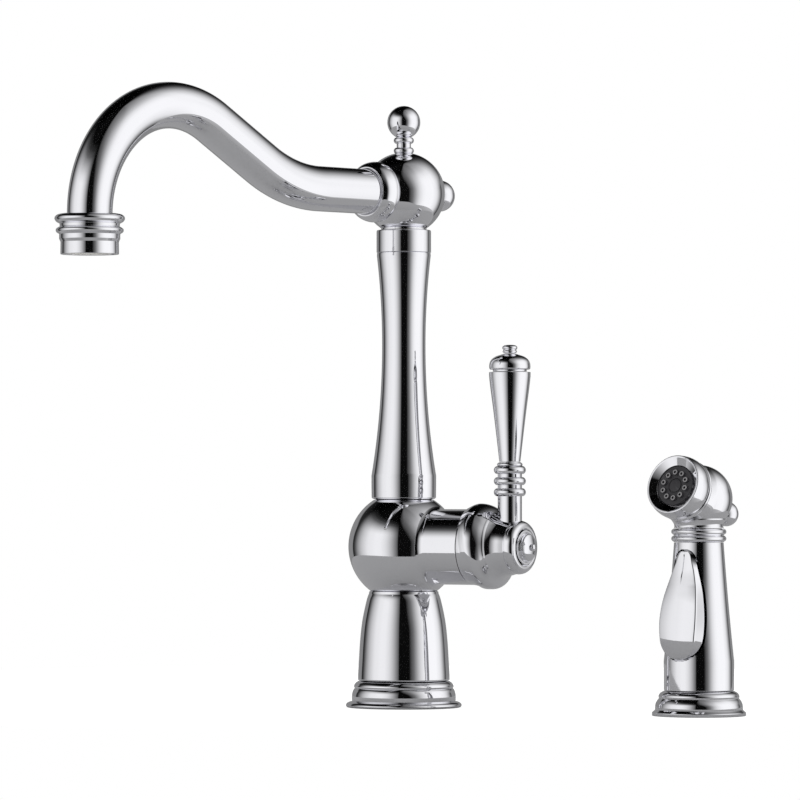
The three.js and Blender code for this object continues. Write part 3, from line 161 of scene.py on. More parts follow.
def add(tree, kind, inputs=None, **settings):
    """A new node. An input is given by name or number, as a value or as another node's output."""
    node = tree.nodes.new("ShaderNode" + kind)
    for name, value in settings.items():
        setattr(node, name, value)
    for key, value in (inputs or {}).items():
        if isinstance(value, bpy.types.NodeSocket):
            tree.links.new(value, node.inputs[key])
        else:
            node.inputs[key].default_value = value
    return node


def connect(tree, sockets, **values):
    """Links outputs to sockets by name, with an underscore for a space."""
    for label, value in values.items():
        tree.links.new(value, sockets[label.replace("_", " ")])


def sums(tree, operation, a, b=0.0, clamp=False):
    """One step of arithmetic, as an output."""
    return add(tree, "Math", {0: a, 1: b}, operation=operation, use_clamp=clamp).outputs[0]


def fade(tree, value, low=0.0, high=1.0, first=0.0, last=1.0):
    """Goes from first to last while the value goes from low to high, and stays there."""
    return add(tree, "MapRange", {0: value, 1: low, 2: high, 3: first, 4: last}).outputs[0]


def blend(tree, share, a, b):
    """Goes from a to b with the share."""
    return add(tree, "Mix", {0: share, 2: a, 3: b}, data_type="FLOAT").outputs[0]


def ramp(tree, value, low, high, stops):
    """A curve drawn through (value, level) stops, read between low and high."""
    share = fade(tree, value, low, high)
    node = add(tree, "ValToRGB", {0: share})
    points = node.color_ramp.elements
    while len(points) < len(stops):
        points.new(0.5)
    for point, (place, level) in zip(points, stops):
        point.position = (place - low) / (high - low)
        point.color = (level, level, level, 1)
    return node.outputs["Color"]


print("node helpers ready")

# %% [markdown]
# ## The studio
#
# Polished metal is lit by what it mirrors. The studio has one large soft panel on each
# side, brightest a little behind the object's shoulders and falling off towards the
# camera, a dark gap in the middle where the camera stands, a dark ceiling, a grey sweep
# low behind the object and a grey floor. Panels could be meshes with light on them, but
# a world that is painted by direction does the same with no geometry and never gets in
# the picture. Only mirror rays see all this. The camera sees plain white, and dull
# surfaces get an even light of strength 1, so that a colour renders about as written.

# %% World
IN_DEGREES = 180 / math.pi
LEAN_FROM, LEAN = 10.0, 0.58  # above this elevation, degrees of azimuth for each degree upwards
NEAR_GAP_END = 45.0
SWEEP_GREY = 0.25
NEAR_FLOOR, FAR_FLOOR = 0.345, 0.3

studio = bpy.data.worlds.new("Photo studio")
scene.world = studio
studio.use_nodes = True
sky = studio.node_tree
sky.nodes.clear()

towards = add(sky, "TexCoord").outputs["Generated"]
turned_round = add(sky, "Mapping", {"Vector": towards, "Rotation": (0, 0, -VIEW_AZIMUTH)}, vector_type="POINT")
axis = add(sky, "SeparateXYZ", {0: turned_round.outputs[0]}).outputs
away = sums(sky, "MULTIPLY", axis[1], -1.0)
azimuth = sums(sky, "MULTIPLY", sums(sky, "ARCTAN2", axis[0], away), IN_DEGREES)
elevation = sums(sky, "MULTIPLY", sums(sky, "ARCSINE", axis[2]), IN_DEGREES)

# The left panel, from its far edge to the dark gap in front.
left_panel = ramp(sky, azimuth, -180, 0, [
    (-132, 0.02), (-127, 0.03), (-122, 0.09), (-117, 0.19), (-113, 0.28), (-109, 0.37), (-106, 0.43), (-102, 0.52),
    (-96, 0.63), (-90, 0.72), (-84, 0.82), (-79, 0.87), (-71, 0.89), (-62, 0.93), (-50, 0.92), (-45, 0.86),
    (-40, 0.8), (-35, 0.7), (-30, 0.57), (-25, 0.43), (-20.5, 0.29), (-16.5, 0.18), (-13.5, 0.1), (-12, 0.003),
])
left_height = ramp(sky, elevation, 0, 90, [
    (0, 1), (23, 1), (28, 0.87), (33, 0.63), (38, 0.37), (42.8, 0.13), (48, 0.035), (54, 0.003),
])
left_light = sums(sky, "MULTIPLY", left_panel, left_height)

# The right panel leans over the top, so its edges move with the elevation.
lean = sums(sky, "MULTIPLY", sums(sky, "MAXIMUM", sums(sky, "SUBTRACT", elevation, LEAN_FROM), 0.0), LEAN)
near_gap = sums(sky, "SUBTRACT", 1.0, sums(sky, "DIVIDE", azimuth, NEAR_GAP_END), clamp=True)
swept = sums(sky, "ADD", azimuth, sums(sky, "MULTIPLY", lean, near_gap))
right_low = ramp(sky, swept, 0, 180, [
    (14, 0.003), (18.7, 0.06), (21.5, 0.1), (24.5, 0.135), (27.3, 0.19), (30, 0.27), (33, 0.35), (36, 0.46),
    (39, 0.56), (42, 0.65), (45, 0.74), (48, 0.81), (52, 0.88), (57, 0.96), (66, 1.02), (90, 1.03), (99, 0.94),
    (105, 0.87), (110, 0.75), (114, 0.61), (119, 0.43), (124, 0.24), (129, 0.1), (134, 0.04),
])
right_high = ramp(sky, azimuth, 0, 180, [
    (98, 1.0), (102, 0.98), (107.5, 0.9), (111, 0.83), (115, 0.78), (120, 0.67), (126, 0.54), (132.4, 0.41),
    (139, 0.28), (146, 0.15), (153.4, 0.068), (160.5, 0.02), (168, 0.003),
])
reach_round = fade(sky, elevation, 10, 22)
at_the_back = sums(sky, "MULTIPLY", reach_round, fade(sky, azimuth, 88, 98))
right_panel = blend(sky, at_the_back, right_low, right_high)
right_height = ramp(sky, elevation, 0, 90, [
    (0, 1), (28, 1), (36, 0.96), (46, 0.82), (56, 0.58), (67, 0.38), (77, 0.25), (90, 0.12),
])
right_light = sums(sky, "MULTIPLY", right_panel, right_height)
on_the_right = fade(sky, azimuth, -12, -11)
panels = blend(sky, on_the_right, left_light, right_light)

# The grey sweep behind the object, and the grey floor below it.
from_the_front = sums(sky, "ABSOLUTE", azimuth)
sweep = fade(sky, from_the_front, 132, 135, last=SWEEP_GREY)
sweep_top = fade(sky, azimuth, -132, -160, 14, 26)
above_it = sums(sky, "SUBTRACT", elevation, sweep_top)
sweep_height = fade(sky, above_it, 0, 6, 1, 0)
behind = sums(sky, "MAXIMUM", panels, sums(sky, "MULTIPLY", sweep, sweep_height))
edge = ramp(sky, azimuth, -180, 180, [(-180, 0.37), (-14, 0.4), (14, 0.43), (42, 0.515), (93, 0.485), (180, 0.4)])
depth = sums(sky, "ADD", axis[2], edge)
below = fade(sky, depth, 0, -0.006)
lit_side = ramp(sky, azimuth, 0, 180, [(45, 0), (85, 0.16), (105, 0.16), (140, 0)])
near_tone = sums(sky, "ADD", lit_side, NEAR_FLOOR)
floor_tone = fade(sky, depth, 0, -0.3, near_tone, FAR_FLOOR)
around = blend(sky, below, behind, floor_tone)

ray = add(sky, "LightPath").outputs
mirrored = sums(sky, "MAXIMUM", ray["Is Glossy Ray"], ray["Is Transmission Ray"])
lit = blend(sky, mirrored, 1.0, around)
seen = blend(sky, ray["Is Camera Ray"], lit, 1.0)
light = add(sky, "Background", {"Color": (1, 1, 1, 1), "Strength": seen})
sky.links.new(light.outputs[0], add(sky, "OutputWorld").inputs[0])
print("studio:", len(sky.nodes), "nodes")

# %% [markdown]
# ## The floor
#
# The object stands on a plain pale sheet. It is round rather than an endless plane, and
# reaches further behind the object than in front: in the photograph the floor's mirror
# image ends well below the horizon, where the panels begin. To the camera the sheet is
# white, with the object's soft shadow left in. In the chrome it shows as the even mid
# grey of the lower half of each ball.

# %% Floor
FLOOR_RADIUS = 480
FLOOR_SET_BACK = 200
FLOOR_GREY = 0.34
FIBRE_SHARE = 0.015
CAMERA_GREY, CAMERA_GLOW = 0.45, 0.72


def ring_points(radius, height, segments):
    """Points round the Z axis, in metres."""
    turns = [math.tau * i / segments for i in range(segments)]
    return [(radius * MM * math.cos(turn), radius * MM * math.sin(turn), height * MM) for turn in turns]


floor_mesh = bpy.data.meshes.new("studio_floor")
floor_mesh.from_pydata(ring_points(FLOOR_RADIUS, -0.05, 128), [], [tuple(range(128))])
floor_mesh.transform(Matrix.Translation(-to_viewer * FLOOR_SET_BACK * MM))
floor = bpy.data.objects.new("studio_floor", floor_mesh)
scene.collection.objects.link(floor)

paper = bpy.data.materials.new("Pale studio paper")
paper.use_nodes = True
sheet = paper.node_tree
sheet.nodes.clear()
ray = add(sheet, "LightPath").outputs
to_camera = ray["Is Camera Ray"]
fibres = add(sheet, "TexNoise", {"Scale": 90.0, "Detail": 3.0}).outputs[0]
grey = fade(sheet, fibres, first=FLOOR_GREY * (1 - FIBRE_SHARE), last=FLOOR_GREY * (1 + FIBRE_SHARE))
tone = blend(sheet, to_camera, grey, CAMERA_GREY)
dull = add(sheet, "BsdfDiffuse", {"Color": tone})
shine = sums(sheet, "MULTIPLY", to_camera, CAMERA_GLOW)
glow = add(sheet, "Emission", {"Color": (1, 1, 1, 1), "Strength": shine})
both = add(sheet, "AddShader", {0: dull.outputs[0], 1: glow.outputs[0]})
sheet.links.new(both.outputs[0], add(sheet, "OutputMaterial").inputs[0])
floor_mesh.materials.append(paper)
print("floor radius", FLOOR_RADIUS, "mm")

# %% [markdown]
# ## Effects that several finishes share
#
# Each effect is a node group with named inputs and outputs: the traces that a polishing
# wheel and a wiping cloth leave, the fine grain of moulded material, the lines of a
# cutting tool, and rubbed edges. They give out masks and heights only.
# What a mask does to the surface is decided in the material that uses it.

# %% Groups for shared effects


def effect(name, inputs, outputs):
    """An empty node group: itself, its inputs, its outputs and the place on the object."""
    group = bpy.data.node_groups.new(name, "ShaderNodeTree")
    for label, value in inputs.items():
        socket = group.interface.new_socket(label, in_out="INPUT", socket_type="NodeSocketFloat")
        socket.default_value = value
    for label in outputs:
        group.interface.new_socket(label, in_out="OUTPUT", socket_type="NodeSocketFloat")
    start = group.nodes.new("NodeGroupInput")
    end = group.nodes.new("NodeGroupOutput")
    return group, start.outputs, end.inputs, add(group, "TexCoord").outputs["Object"]


def cloud(tree, place, scale, detail):
    """Soft noise, as an output."""
    return add(tree, "TexNoise", {"Vector": place, "Scale": scale, "Detail": detail}).outputs[0]


polish_marks, given, out, place = effect("Polish marks", {"Scale": 60.0}, ["Haze", "Ripple"])
clouds = cloud(polish_marks, place, given["Scale"], 4.0)
stretched = add(polish_marks, "Mapping", {"Vector": place, "Rotation": (0.4, 0.2, 0.7), "Scale": (1, 1, 14)})
wiped = cloud(polish_marks, stretched.outputs[0], sums(polish_marks, "MULTIPLY", given["Scale"], 5.0), 2.0)
soft = fade(polish_marks, clouds, 0.45, 0.75)
fine = fade(polish_marks, wiped, 0.5, 0.8)
haze = add(polish_marks, "Math", {0: soft, 1: fine, 2: 0.5}, operation="MULTIPLY_ADD").outputs[0]
connect(polish_marks, out, Haze=haze, Ripple=clouds)

grain, given, out, place = effect("Moulded grain", {"Scale": 400.0}, ["Height", "Mottle"])
coarse = sums(grain, "MULTIPLY", given["Scale"], 0.08)
connect(grain, out, Height=cloud(grain, place, given["Scale"], 3.0), Mottle=cloud(grain, place, coarse, 2.0))

tool_lines, given, out, place = effect("Tool lines", {"Scale": 900.0}, ["Height"])
lines = add(tool_lines, "TexWave", {
    "Vector": place, "Scale": given["Scale"], "Distortion": 1.5, "Detail": 2.0, "Detail Scale": 2.0,
}, bands_direction="DIAGONAL").outputs["Fac"]
connect(tool_lines, out, Height=lines)

edge_wear, given, out, place = effect("Rubbed edges", {"Amount": 1.0}, ["Mask"])
sharpness = add(edge_wear, "NewGeometry").outputs["Pointiness"]
edges = fade(edge_wear, sharpness, 0.52, 0.6)
broken = cloud(edge_wear, place, 250.0, 3.0)
worn = sums(edge_wear, "MULTIPLY", edges, sums(edge_wear, "MULTIPLY", broken, given["Amount"]), clamp=True)
connect(edge_wear, out, Mask=worn)
print("effects:", [g.name for g in (polish_marks, grain, tool_lines, edge_wear)])


def use(tree, group, **values):
    """A group placed in a material with its own values, as its outputs."""
    node = tree.nodes.new("ShaderNodeGroup")
    node.node_tree = group
    for label, value in values.items():
        node.inputs[label].default_value = value
    return node.outputs


# %% [markdown]
# ## Polished chrome
#
# Chrome plate is a mirror with a faint blue cast. A perfect mirror looks like a
# computer's work, so the polish varies a little: the haze that a cloth leaves makes it
# a touch rougher in soft patches, and the ripple of the buffing wheel bends the
# mirrored lines by less than anyone would notice on purpose.

# %% Chrome


def finish(name, **settings):
    """A material with a Principled shader, returned with its tree and the shader."""
    made = bpy.data.materials.new(name)
    made.use_nodes = True
    tree = made.node_tree
    shader = tree.nodes["Principled BSDF"]
    for label, value in settings.items():
        shader.inputs[label.replace("_", " ")].default_value = value
    return made, tree, shader.inputs


def relief(tree, height, strength, distance):
    """A bump of that height, in metres, as a normal."""
    return add(tree, "Bump", {"Height": height, "Strength": strength, "Distance": distance}).outputs[0]


def shades(tree, mask, dark, light):
    """A colour that goes from dark to light with the mask."""
    return add(tree, "Mix", {0: mask, 6: (*dark, 1), 7: (*light, 1)}, data_type="RGBA").outputs[2]


chrome, tree, surface = finish("Polished chrome", Metallic=1.0)
marks = use(tree, polish_marks, Scale=55.0)
connect(
    tree, surface,
    Base_Color=shades(tree, marks["Haze"], (0.925, 0.925, 0.955), (0.89, 0.89, 0.925)),
    Roughness=fade(tree, marks["Haze"], first=0.018, last=0.06),
    Normal=relief(tree, marks["Ripple"], 0.015, 0.0004),
)
print("chrome made")

# %% [markdown]
# ## Brass, copper and steel
#
# Inside the chrome are the parts that the water touches. The nuts, the spindle and the
# swivel post are turned brass, the supply tubes are drawn copper, and the screws, pins
# and the spring are steel. They share the tool lines and the rubbed edges, each with
# its own colours, so a reader can see how little is needed to tell metals apart.

# %% Raw metals


def raw_metal(name, dark, light, low, high, scale):
    """A metal between two colours, as smooth as low where it is bright and as rough as high where dull."""
    made, tree, surface = finish(name, Metallic=1.0)
    tarnish = use(tree, grain, Scale=scale)["Mottle"]
    worn = use(tree, edge_wear, Amount=1.6)["Mask"]
    tone = sums(tree, "ADD", tarnish, worn, clamp=True)
    connect(
        tree, surface,
        Base_Color=shades(tree, tone, dark, light),
        Roughness=fade(tree, tone, first=high, last=low),
        Normal=relief(tree, use(tree, tool_lines, Scale=scale * 2)["Height"], 0.2, 0.00002),
    )
    return made


brass = raw_metal("Turned brass", (0.5, 0.34, 0.11), (0.83, 0.64, 0.31), 0.22, 0.42, 420)
copper = raw_metal("Drawn copper", (0.5, 0.2, 0.12), (0.87, 0.48, 0.34), 0.24, 0.45, 360)
steel = raw_metal("Stainless steel", (0.36, 0.37, 0.38), (0.67, 0.68, 0.69), 0.2, 0.36, 500)
print("metals:", brass.name, copper.name, steel.name)

# %% [markdown]
# ## Rubber, plastic and ceramic
#
# The spray's face, the seals and the gasket are black rubber. It is nearly black, a
# little lighter where it is rubbed, and its grain shows only close up. The nozzle tips
# are a pale grey that is partly their own colour and partly a painted highlight. The
# bushes and washers are nylon, the cartridge is grey plastic and its discs are glazed ceramic.

# %% Moulded materials


def moulded(name, dark, light, low, high, scale, depth, **settings):
    """A moulded material between two colours and two roughnesses, with a grain of that depth in metres."""
    made, tree, surface = finish(name, **settings)
    cast = use(tree, grain, Scale=scale)
    worn = use(tree, edge_wear, Amount=1.2)["Mask"]
    tone = sums(tree, "ADD", sums(tree, "MULTIPLY", cast["Mottle"], 0.6), worn, clamp=True)
    connect(
        tree, surface,
        Base_Color=shades(tree, tone, dark, light),
        Roughness=fade(tree, cast["Mottle"], first=low, last=high),
        Normal=relief(tree, cast["Height"], 0.3, depth),
    )
    return made


rubber = moulded("Black rubber", (0.012, 0.012, 0.014), (0.045, 0.045, 0.048), 0.5, 0.75, 700, 0.00008)
face_rubber = moulded("Spray face rubber", (0.016, 0.015, 0.018), (0.05, 0.048, 0.054), 0.38, 0.55, 800, 0.00006)
# The nozzle tips' pale grey is partly their own colour and partly a painted highlight.
nozzle_grey_and_painted_highlight = moulded("Nozzle tips", (0.17, 0.167, 0.172), (0.33, 0.325, 0.33), 0.4, 0.55, 900, 0.00004)
nylon = moulded("White nylon", (0.72, 0.71, 0.67), (0.84, 0.83, 0.8), 0.4, 0.55, 500, 0.00004)
grey_plastic = moulded("Grey plastic", (0.09, 0.1, 0.115), (0.16, 0.17, 0.19), 0.4, 0.55, 500, 0.00004)
ceramic = moulded(
    "Glazed ceramic", (0.8, 0.79, 0.75), (0.88, 0.87, 0.84), 0.12, 0.2, 300, 0.00002, Coat_Weight=0.3,
)
print("moulded materials made")

# %% [markdown]
# ## Turning on the lathe
#
# Nearly every piece of a tap is turned, so a lathe in code is the main tool: an outline
# of (radius, height) points is spun round an axis. A screw modifier would do the same,
# but a mesh made directly can start and end on the axis without a hole, and its faces
# always look outwards. The corners of a real piece are never sharp, and each rounded
# corner catches a thin bright line, so the outlines have fillets.

# %% Outlines


def rounded(corners, steps=4):
    """An outline from (radius, height) or (radius, height, fillet) corners, in millimetres."""
    closed = corners[0][0] > 0 or corners[-1][0] > 0
    outline = []
    for i, corner in enumerate(corners):
        here = Vector(corner[:2])
        fillet = corner[2] if len(corner) > 2 else 0
        if not fillet or (not closed and i in (0, len(corners) - 1)):
            outline.append(tuple(here))
            continue
        back = Vector(corners[i - 1][:2]) - here
        on = Vector(corners[(i + 1) % len(corners)][:2]) - here
        half = back.angle(on) / 2
        run = min(fillet / math.tan(half), 0.48 * back.length, 0.48 * on.length)
        radius = run * math.tan(half)
        centre = here + (back.normalized() + on.normalized()).normalized() * (radius / math.sin(half))
        first = here + back.normalized() * run - centre
        last = here + on.normalized() * run - centre
        begin = math.atan2(first.y, first.x)
        turn = math.remainder(math.atan2(last.y, last.x) - begin, math.tau)
        for k in range(steps + 1):
            angle = begin + turn * k / steps
            outline.append((centre.x + radius * math.cos(angle), centre.y + radius * math.sin(angle)))
    return outline


def arc(centre_r, centre_h, radius, start, end, steps):
    """Points on an arc, its angles in degrees from the radius direction."""
    angles = [math.radians(start + (end - start) * i / steps) for i in range(steps + 1)]
    return [(centre_r + radius * math.cos(angle), centre_h + radius * math.sin(angle)) for angle in angles]


def flowing(through, steps):
    """A smooth run of points through the given ones, of any number of coordinates."""
    last = len(through) - 1
    made = []
    for k in range(steps + 1):
        place = last * k / steps
        i = min(int(place), last - 1)
        t = place - i
        p0, p1, p2, p3 = (through[max(0, min(last, j))] for j in (i - 1, i, i + 1, i + 2))
        made.append(tuple(
            b + t * ((c - a) / 2 + t * ((2 * a - 5 * b + 4 * c - d) / 2 + t * (3 * (b - c) + d - a) / 2))
            for a, b, c, d in zip(p0, p1, p2, p3)
        ))
    return made


def above(base, *corners):
    """The given corners, with their heights measured from a base."""
    return [(r, base + height, *fillet) for r, height, *fillet in corners]


print("a rounded corner has", len(rounded([(1, 0), (1, 1, 0.2), (0.5, 1)])) - 2, "points")

# %% Solids from rings


def solid(name, points, faces, place=Matrix()):
    """A mesh object from points in millimetres, placed by a matrix."""
    mesh = bpy.data.meshes.new(name)
    mesh.from_pydata([Vector(p) * MM for p in points], [], faces)
    mesh.transform(place)
    made = bpy.data.objects.new(name, mesh)
    scene.collection.objects.link(made)
    return made


def skin(rings, closed_end_to_end=False):
    """Faces between rings of point numbers. A ring of one number is a point on the axis."""
    faces = []
    pairs = list(zip(rings, rings[1:]))
    if closed_end_to_end:
        pairs.append((rings[-1], rings[0]))
    for low, high in pairs:
        count = max(len(low), len(high))
        for a in range(count):
            b = (a + 1) % count
            corners = [low[a % len(low)], low[b % len(low)], high[b % len(high)], high[a % len(high)]]
            corners = list(dict.fromkeys(corners))
            if len(corners) > 2:
                faces.append(corners)
    return faces


def turned(name, outline, place=Matrix(), segments=96, bend=None):
    """A solid of revolution. bend gives a matrix for each point of the outline, to lean its ring."""
    outline = [(max(r, 0.0), h) for r, h in outline]
    area = sum(a[0] * b[1] - b[0] * a[1] for a, b in zip(outline, outline[1:] + outline[:1]))
    if area < 0:
        outline.reverse()
        bend = bend and bend[::-1]
    points, rings = [], []
    for i, (r, h) in enumerate(outline):
        lean = bend[i] if bend else Matrix()
        count = segments if r > 1e-6 else 1
        rings.append(list(range(len(points), len(points) + count)))
        for k in range(count):
            angle = math.tau * k / segments
            points.append(lean @ Vector((r * math.cos(angle), r * math.sin(angle), h)))
    on_axis = outline[0][0] < 1e-6 and outline[-1][0] < 1e-6
    return solid(name, points, skin(rings, closed_end_to_end=not on_axis), place)


def rod(radius, low, high, place=Matrix(), segments=48):
    """A plain cylinder, used to cut holes."""
    return turned("tool", [(0, low), (radius, low), (radius, high), (0, high)], place, segments)


print("lathe ready")

# %% [markdown]
# ## Cutting and joining
#
# Where a barrel grows out of a ball, or a hole goes through a wall, one solid is joined
# to or cut from another with the boolean modifier, which is then applied so that the
# piece is one clean mesh.

# %% Booleans


def boolean(piece, tools, operation):
    """Joins or cuts with one tool after another, and clears each tool away."""
    for tool in tools:
        step = piece.modifiers.new(operation.lower(), "BOOLEAN")
        step.operation = operation
        step.solver = "EXACT"
        step.object = tool
        fresh = bpy.data.meshes.new_from_object(piece.evaluated_get(bpy.context.evaluated_depsgraph_get()))
        piece.modifiers.clear()
        old = piece.data
        piece.data = fresh
        bpy.data.meshes.remove(old)
        bpy.data.meshes.remove(tool.data)
    return piece


def cut(piece, *tools):
    return boolean(piece, tools, "DIFFERENCE")


def join(piece, *others):
    return boolean(piece, others, "UNION")


print("cutting and joining ready")

# %% [markdown]
# ## Handing a piece over
#
# Each finished piece is shaded smooth but for its real edges, weighted so that flat
# faces stay flat next to a fillet, and given its finish. It is hung on an empty for the
# body of the CAD model that it moves with, and the CAD nodes that it stands for are hidden.

# %% Dressing a piece
SMOOTH_UNDER = math.radians(32)


def dress(piece, body, material, slot, *nodes):
    """Shades a piece, gives it its finish, hangs it on its body's empty and hides the CAD nodes it stands for."""
    mesh = piece.data
    if not mesh.materials:
        mesh.materials.append(material)
    mesh.shade_smooth()
    mesh.set_sharp_from_angle(angle=SMOOTH_UNDER)
    weighted = piece.modifiers.new("flat_faces_stay_flat", "WEIGHTED_NORMAL")
    weighted.keep_sharp = True
    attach(piece, body)
    if nodes:
        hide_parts(*nodes)
    print(f"{piece.name}: {len(mesh.polygons)} faces, moves with {body}")
    return piece


def polished(piece, body, *nodes):
    return dress(piece, body, chrome, "chrome", *nodes)


print(f"edges under {math.degrees(SMOOTH_UNDER):.0f} degrees are shaded smooth")

# %% [markdown]
# ## The base on the deck
#
# The escutcheon is a flat flange, an ogee and a bead, all in one turning. Above it
# stands the bell, a thin cover that narrows towards the valve. Where two pieces meet,
# the upper or the lower one has a thin inner lip that reaches over to the other: from
# outside the joint is a dark line, and nothing behind it shows.

# %% Escutcheon
GAP, LIP = 0.3, 0.32  # the gap between two pieces, and the lip that closes it

deck, escutcheon_top = span("escutcheon")
escutcheon = [(24, deck), *rounded([(28, deck), (33.6, deck, 0.3), (34.3, 0.25)])[1:-1]]
escutcheon += flowing([
    (34.3, 0.25), (34.8, 0.8), (34.9, 1.4), (34.6, 2.1), (33.9, 2.8), (32.8, 3.3), (31.8, 3.5),
], 24)
escutcheon += flowing([
    (31.0, 3.6), (31.2, 4.1), (31.3, 5.6), (31.3, 7.0), (31.0, 8.8), (30.4, 10.4), (29.7, 11.3),
], 26)
escutcheon += flowing([(29.5, 11.5), (29.95, 12.1), (29.95, 13.0), (29.5, 14.0), (28.6, 15.0), (27.4, 15.7)], 18)
escutcheon += [(26.6, escutcheon_top), (24, escutcheon_top)]
polished(turned("polished_escutcheon", escutcheon, segments=128), "main", "escutcheon")

# %% Bell
BELL_WALL = 3
bell_foot, bell_top = span("base_bell")
BELL_SIDE = [
    *above(bell_foot, (27.65, 0.6), (27.5, 4.7), (27.05, 12), (26.3, 24), (24.95, 36), (22.4, 48)),
    (21.0, bell_top - 0.5),
]


def bell_side(inset, steps):
    """The bell's side, moved inwards."""
    return [(r - inset, z) for r, z in flowing(BELL_SIDE, steps)]


bell = above(bell_foot, (24.5, 0), (25.4, -LIP), (26.2, 0), (27.3, 0), (27.6, 0.25)) + bell_side(0, 60)
# The rim rises a little round the ball, with the lip behind it.
bell += above(bell_top, (20.85, 0.6), (20.6, 0.9), (20.25, 0.85), (19.4, 0), (18.9, 0), (18.5, LIP), (18.2, 0))
bell += reversed(bell_side(BELL_WALL, 16))
polished(turned("polished_bell", bell, segments=128), "main", "base_bell")

# %% [markdown]
# ## The valve's ball and barrel
#
# The valve body is a ball with a barrel that grows out of its side. Ball and barrel are
# turned separately and joined, and then the bores for the cartridge, the diverter and
# the three tubes are cut.

# %% Valve body
BALL_R = 33.4
FLATS_R = 33.9  # the flats at foot and neck are measured on a ball of this radius
BALL_FOOT_R = 19.8
BALL_NECK_R = 18.8
BARREL_R = 22.6
BARREL_END = 50.4
CORNER_R = 8  # the soft inner corner between ball and barrel
CARTRIDGE_BORE_R = 18.8
DIVERTER_BORE_R = 8.3
PORT_R = 5.05
PORTS = [(8, 8), (8, -8), (-12, 0)]

ball_foot = -math.sqrt(FLATS_R**2 - BALL_FOOT_R**2)
ball_neck = math.sqrt(FLATS_R**2 - BALL_NECK_R**2)
foot_angle = math.degrees(math.asin(ball_foot / BALL_R))
neck_angle = math.degrees(math.asin(ball_neck / BALL_R))
ball = turned(
    "polished_valve_body",
    [(0, ball_foot), *arc(0, 0, BALL_R, foot_angle, neck_angle, 60), (0, ball_neck)],
    at(z=valve_z), 160,
)
corner_at = math.sqrt((BALL_R + CORNER_R - 0.02) ** 2 - (BARREL_R + CORNER_R) ** 2)
corner_from = -180 + math.degrees(math.atan2(corner_at, BARREL_R + CORNER_R))
corner = arc(BARREL_R + CORNER_R, corner_at, CORNER_R, corner_from - 6, -180, 14)
barrel = turned("barrel", [
    (0, 4), (corner[0][0] - 3, 4), *corner,
    *above(BARREL_END, (BARREL_R, -0.7), (BARREL_R - 0.2, -0.2), (BARREL_R - 0.7, 0), (0, 0)),
], valve_line, 160)
join(ball, barrel)
cut(
    ball,
    rod(CARTRIDGE_BORE_R, 14, BARREL_END + 1, valve_line, 64),
    rod(DIVERTER_BORE_R, 6, ball_neck + 1, at(z=valve_z)),
    *(rod(PORT_R, ball_foot - 1, -15.7, at(x, y, valve_z), 32) for x, y in PORTS),
)
polished(ball, "main", "valve_body")

# %% Bonnet over the cartridge
PIVOT = 56.5
BONNET_R = 23.2
BONNET_END = PIVOT + 2.8


def zone(radius, low, high, steps):
    """The side of a ball about the handle's pivot, between two distances along the barrel."""
    start, end = (math.degrees(math.asin((x - PIVOT) / radius)) for x in (low, high))
    return arc(0, PIVOT, radius, start, end, steps)


bonnet_start = BARREL_END + GAP
bonnet = zone(BONNET_R, bonnet_start, BONNET_END, 16)
bonnet += reversed(zone(BONNET_R - 2.6, bonnet_start, BONNET_END, 8))
polished(turned("polished_bonnet", bonnet, valve_line, 128), "main", "bonnet")

# %% [markdown]
# ## The handle's hub
#
# The hub is a skirt that slides over the bonnet and a neck that carries the lever. Its
# skirt leans, so that the handle can open, while the neck is straight. Joining two
# solids would leave a crease, so the outline is turned in one go and each ring leans by
# its own angle: the full angle at the skirt, and none along the neck.

# %% Handle hub
SKIRT_R = 26
SKIRT_SLANT = 11.5
HUB_END = 85.8
INNER_R = 23.6
pivot_line = valve_line @ at(z=PIVOT)

outside = flowing([
    (SKIRT_R - 0.9, -1.9), (SKIRT_R - 0.35, 0.6), (SKIRT_R - 0.1, 3.2), (SKIRT_R - 1.1, 6.2), (SKIRT_R - 3.1, 9.0),
    (SKIRT_R - 5.7, 11.6), (18.5, 14.0), (17.3, 16.8), (16.5, 20.0), (15.7, 22.7),
], 54)
nose = flowing([
    (15.7, 22.8), (15.95, 23.6), (16.0, 25.0), (15.7, 26.6), (15.0, 28.0), (13.9, 28.95), (12.6, 29.3),
    (11.4, 29.3),
], 36)
inside = [
    *above(HUB_END - PIVOT, (11.0, -0.3), (11.0, -3.4), (3.2, -3.4)), (3.2, 21.5), (11.0, 21.5),
    (12.6, 18.8), (14.6, 16.2), (17.4, 13.8), *arc(0, 0, INNER_R, 30, -5, 12),
]
hub_outline = [*outside, *nose, *inside]


def leaning(height, full=3.5, none=14.5):
    """The matrix that leans a ring about the pivot, fully at the skirt and not at all at the neck."""
    share = max(0.0, min(1.0, (none - height) / (none - full)))
    share = share * share * (3 - 2 * share)
    return Matrix.Rotation(math.radians(-SKIRT_SLANT * share), 4, "Y")


hub_lean = [leaning(h) for _, h in hub_outline]
polished(turned("polished_handle_hub", hub_outline, pivot_line, 128, bend=hub_lean), "lever", "handle_hub")

# %% [markdown]
# ## The cap at the hub's end
#
# A stepped disc with a low dome and a small bead closes the screw's socket.

# %% Handle cap
CAP_R = 10.4
cap = rounded(above(HUB_END, (0, -3.1), (CAP_R, -3.1), (CAP_R, 0.7, 0.4), (8.9, 0.7, 0.25), (8.5, 0.2)))
cap += flowing(above(
    HUB_END, (8.4, 0.25), (8.05, 0.9), (8.0, 1.6), (8.1, 2.3), (7.6, 3.0), (6.2, 3.6), (4.3, 4.1), (2.5, 4.4),
), 36)
cap += flowing(above(HUB_END, (1.8, 4.5), (2.15, 4.9), (2.2, 5.5), (1.7, 6.15), (0.8, 6.45), (0, 6.5)), 24)
polished(turned("polished_handle_cap", cap, valve_line, 96), "lever", "handle_cap")

# %% [markdown]
# ## The lever
#
# The lever is a stack on one rod: a stem with three rings, a grip that widens like a
# bottle, a dome and a button. Only the stem's foot isn't turned: it is cut to the
# shape of the hub that it stands on.

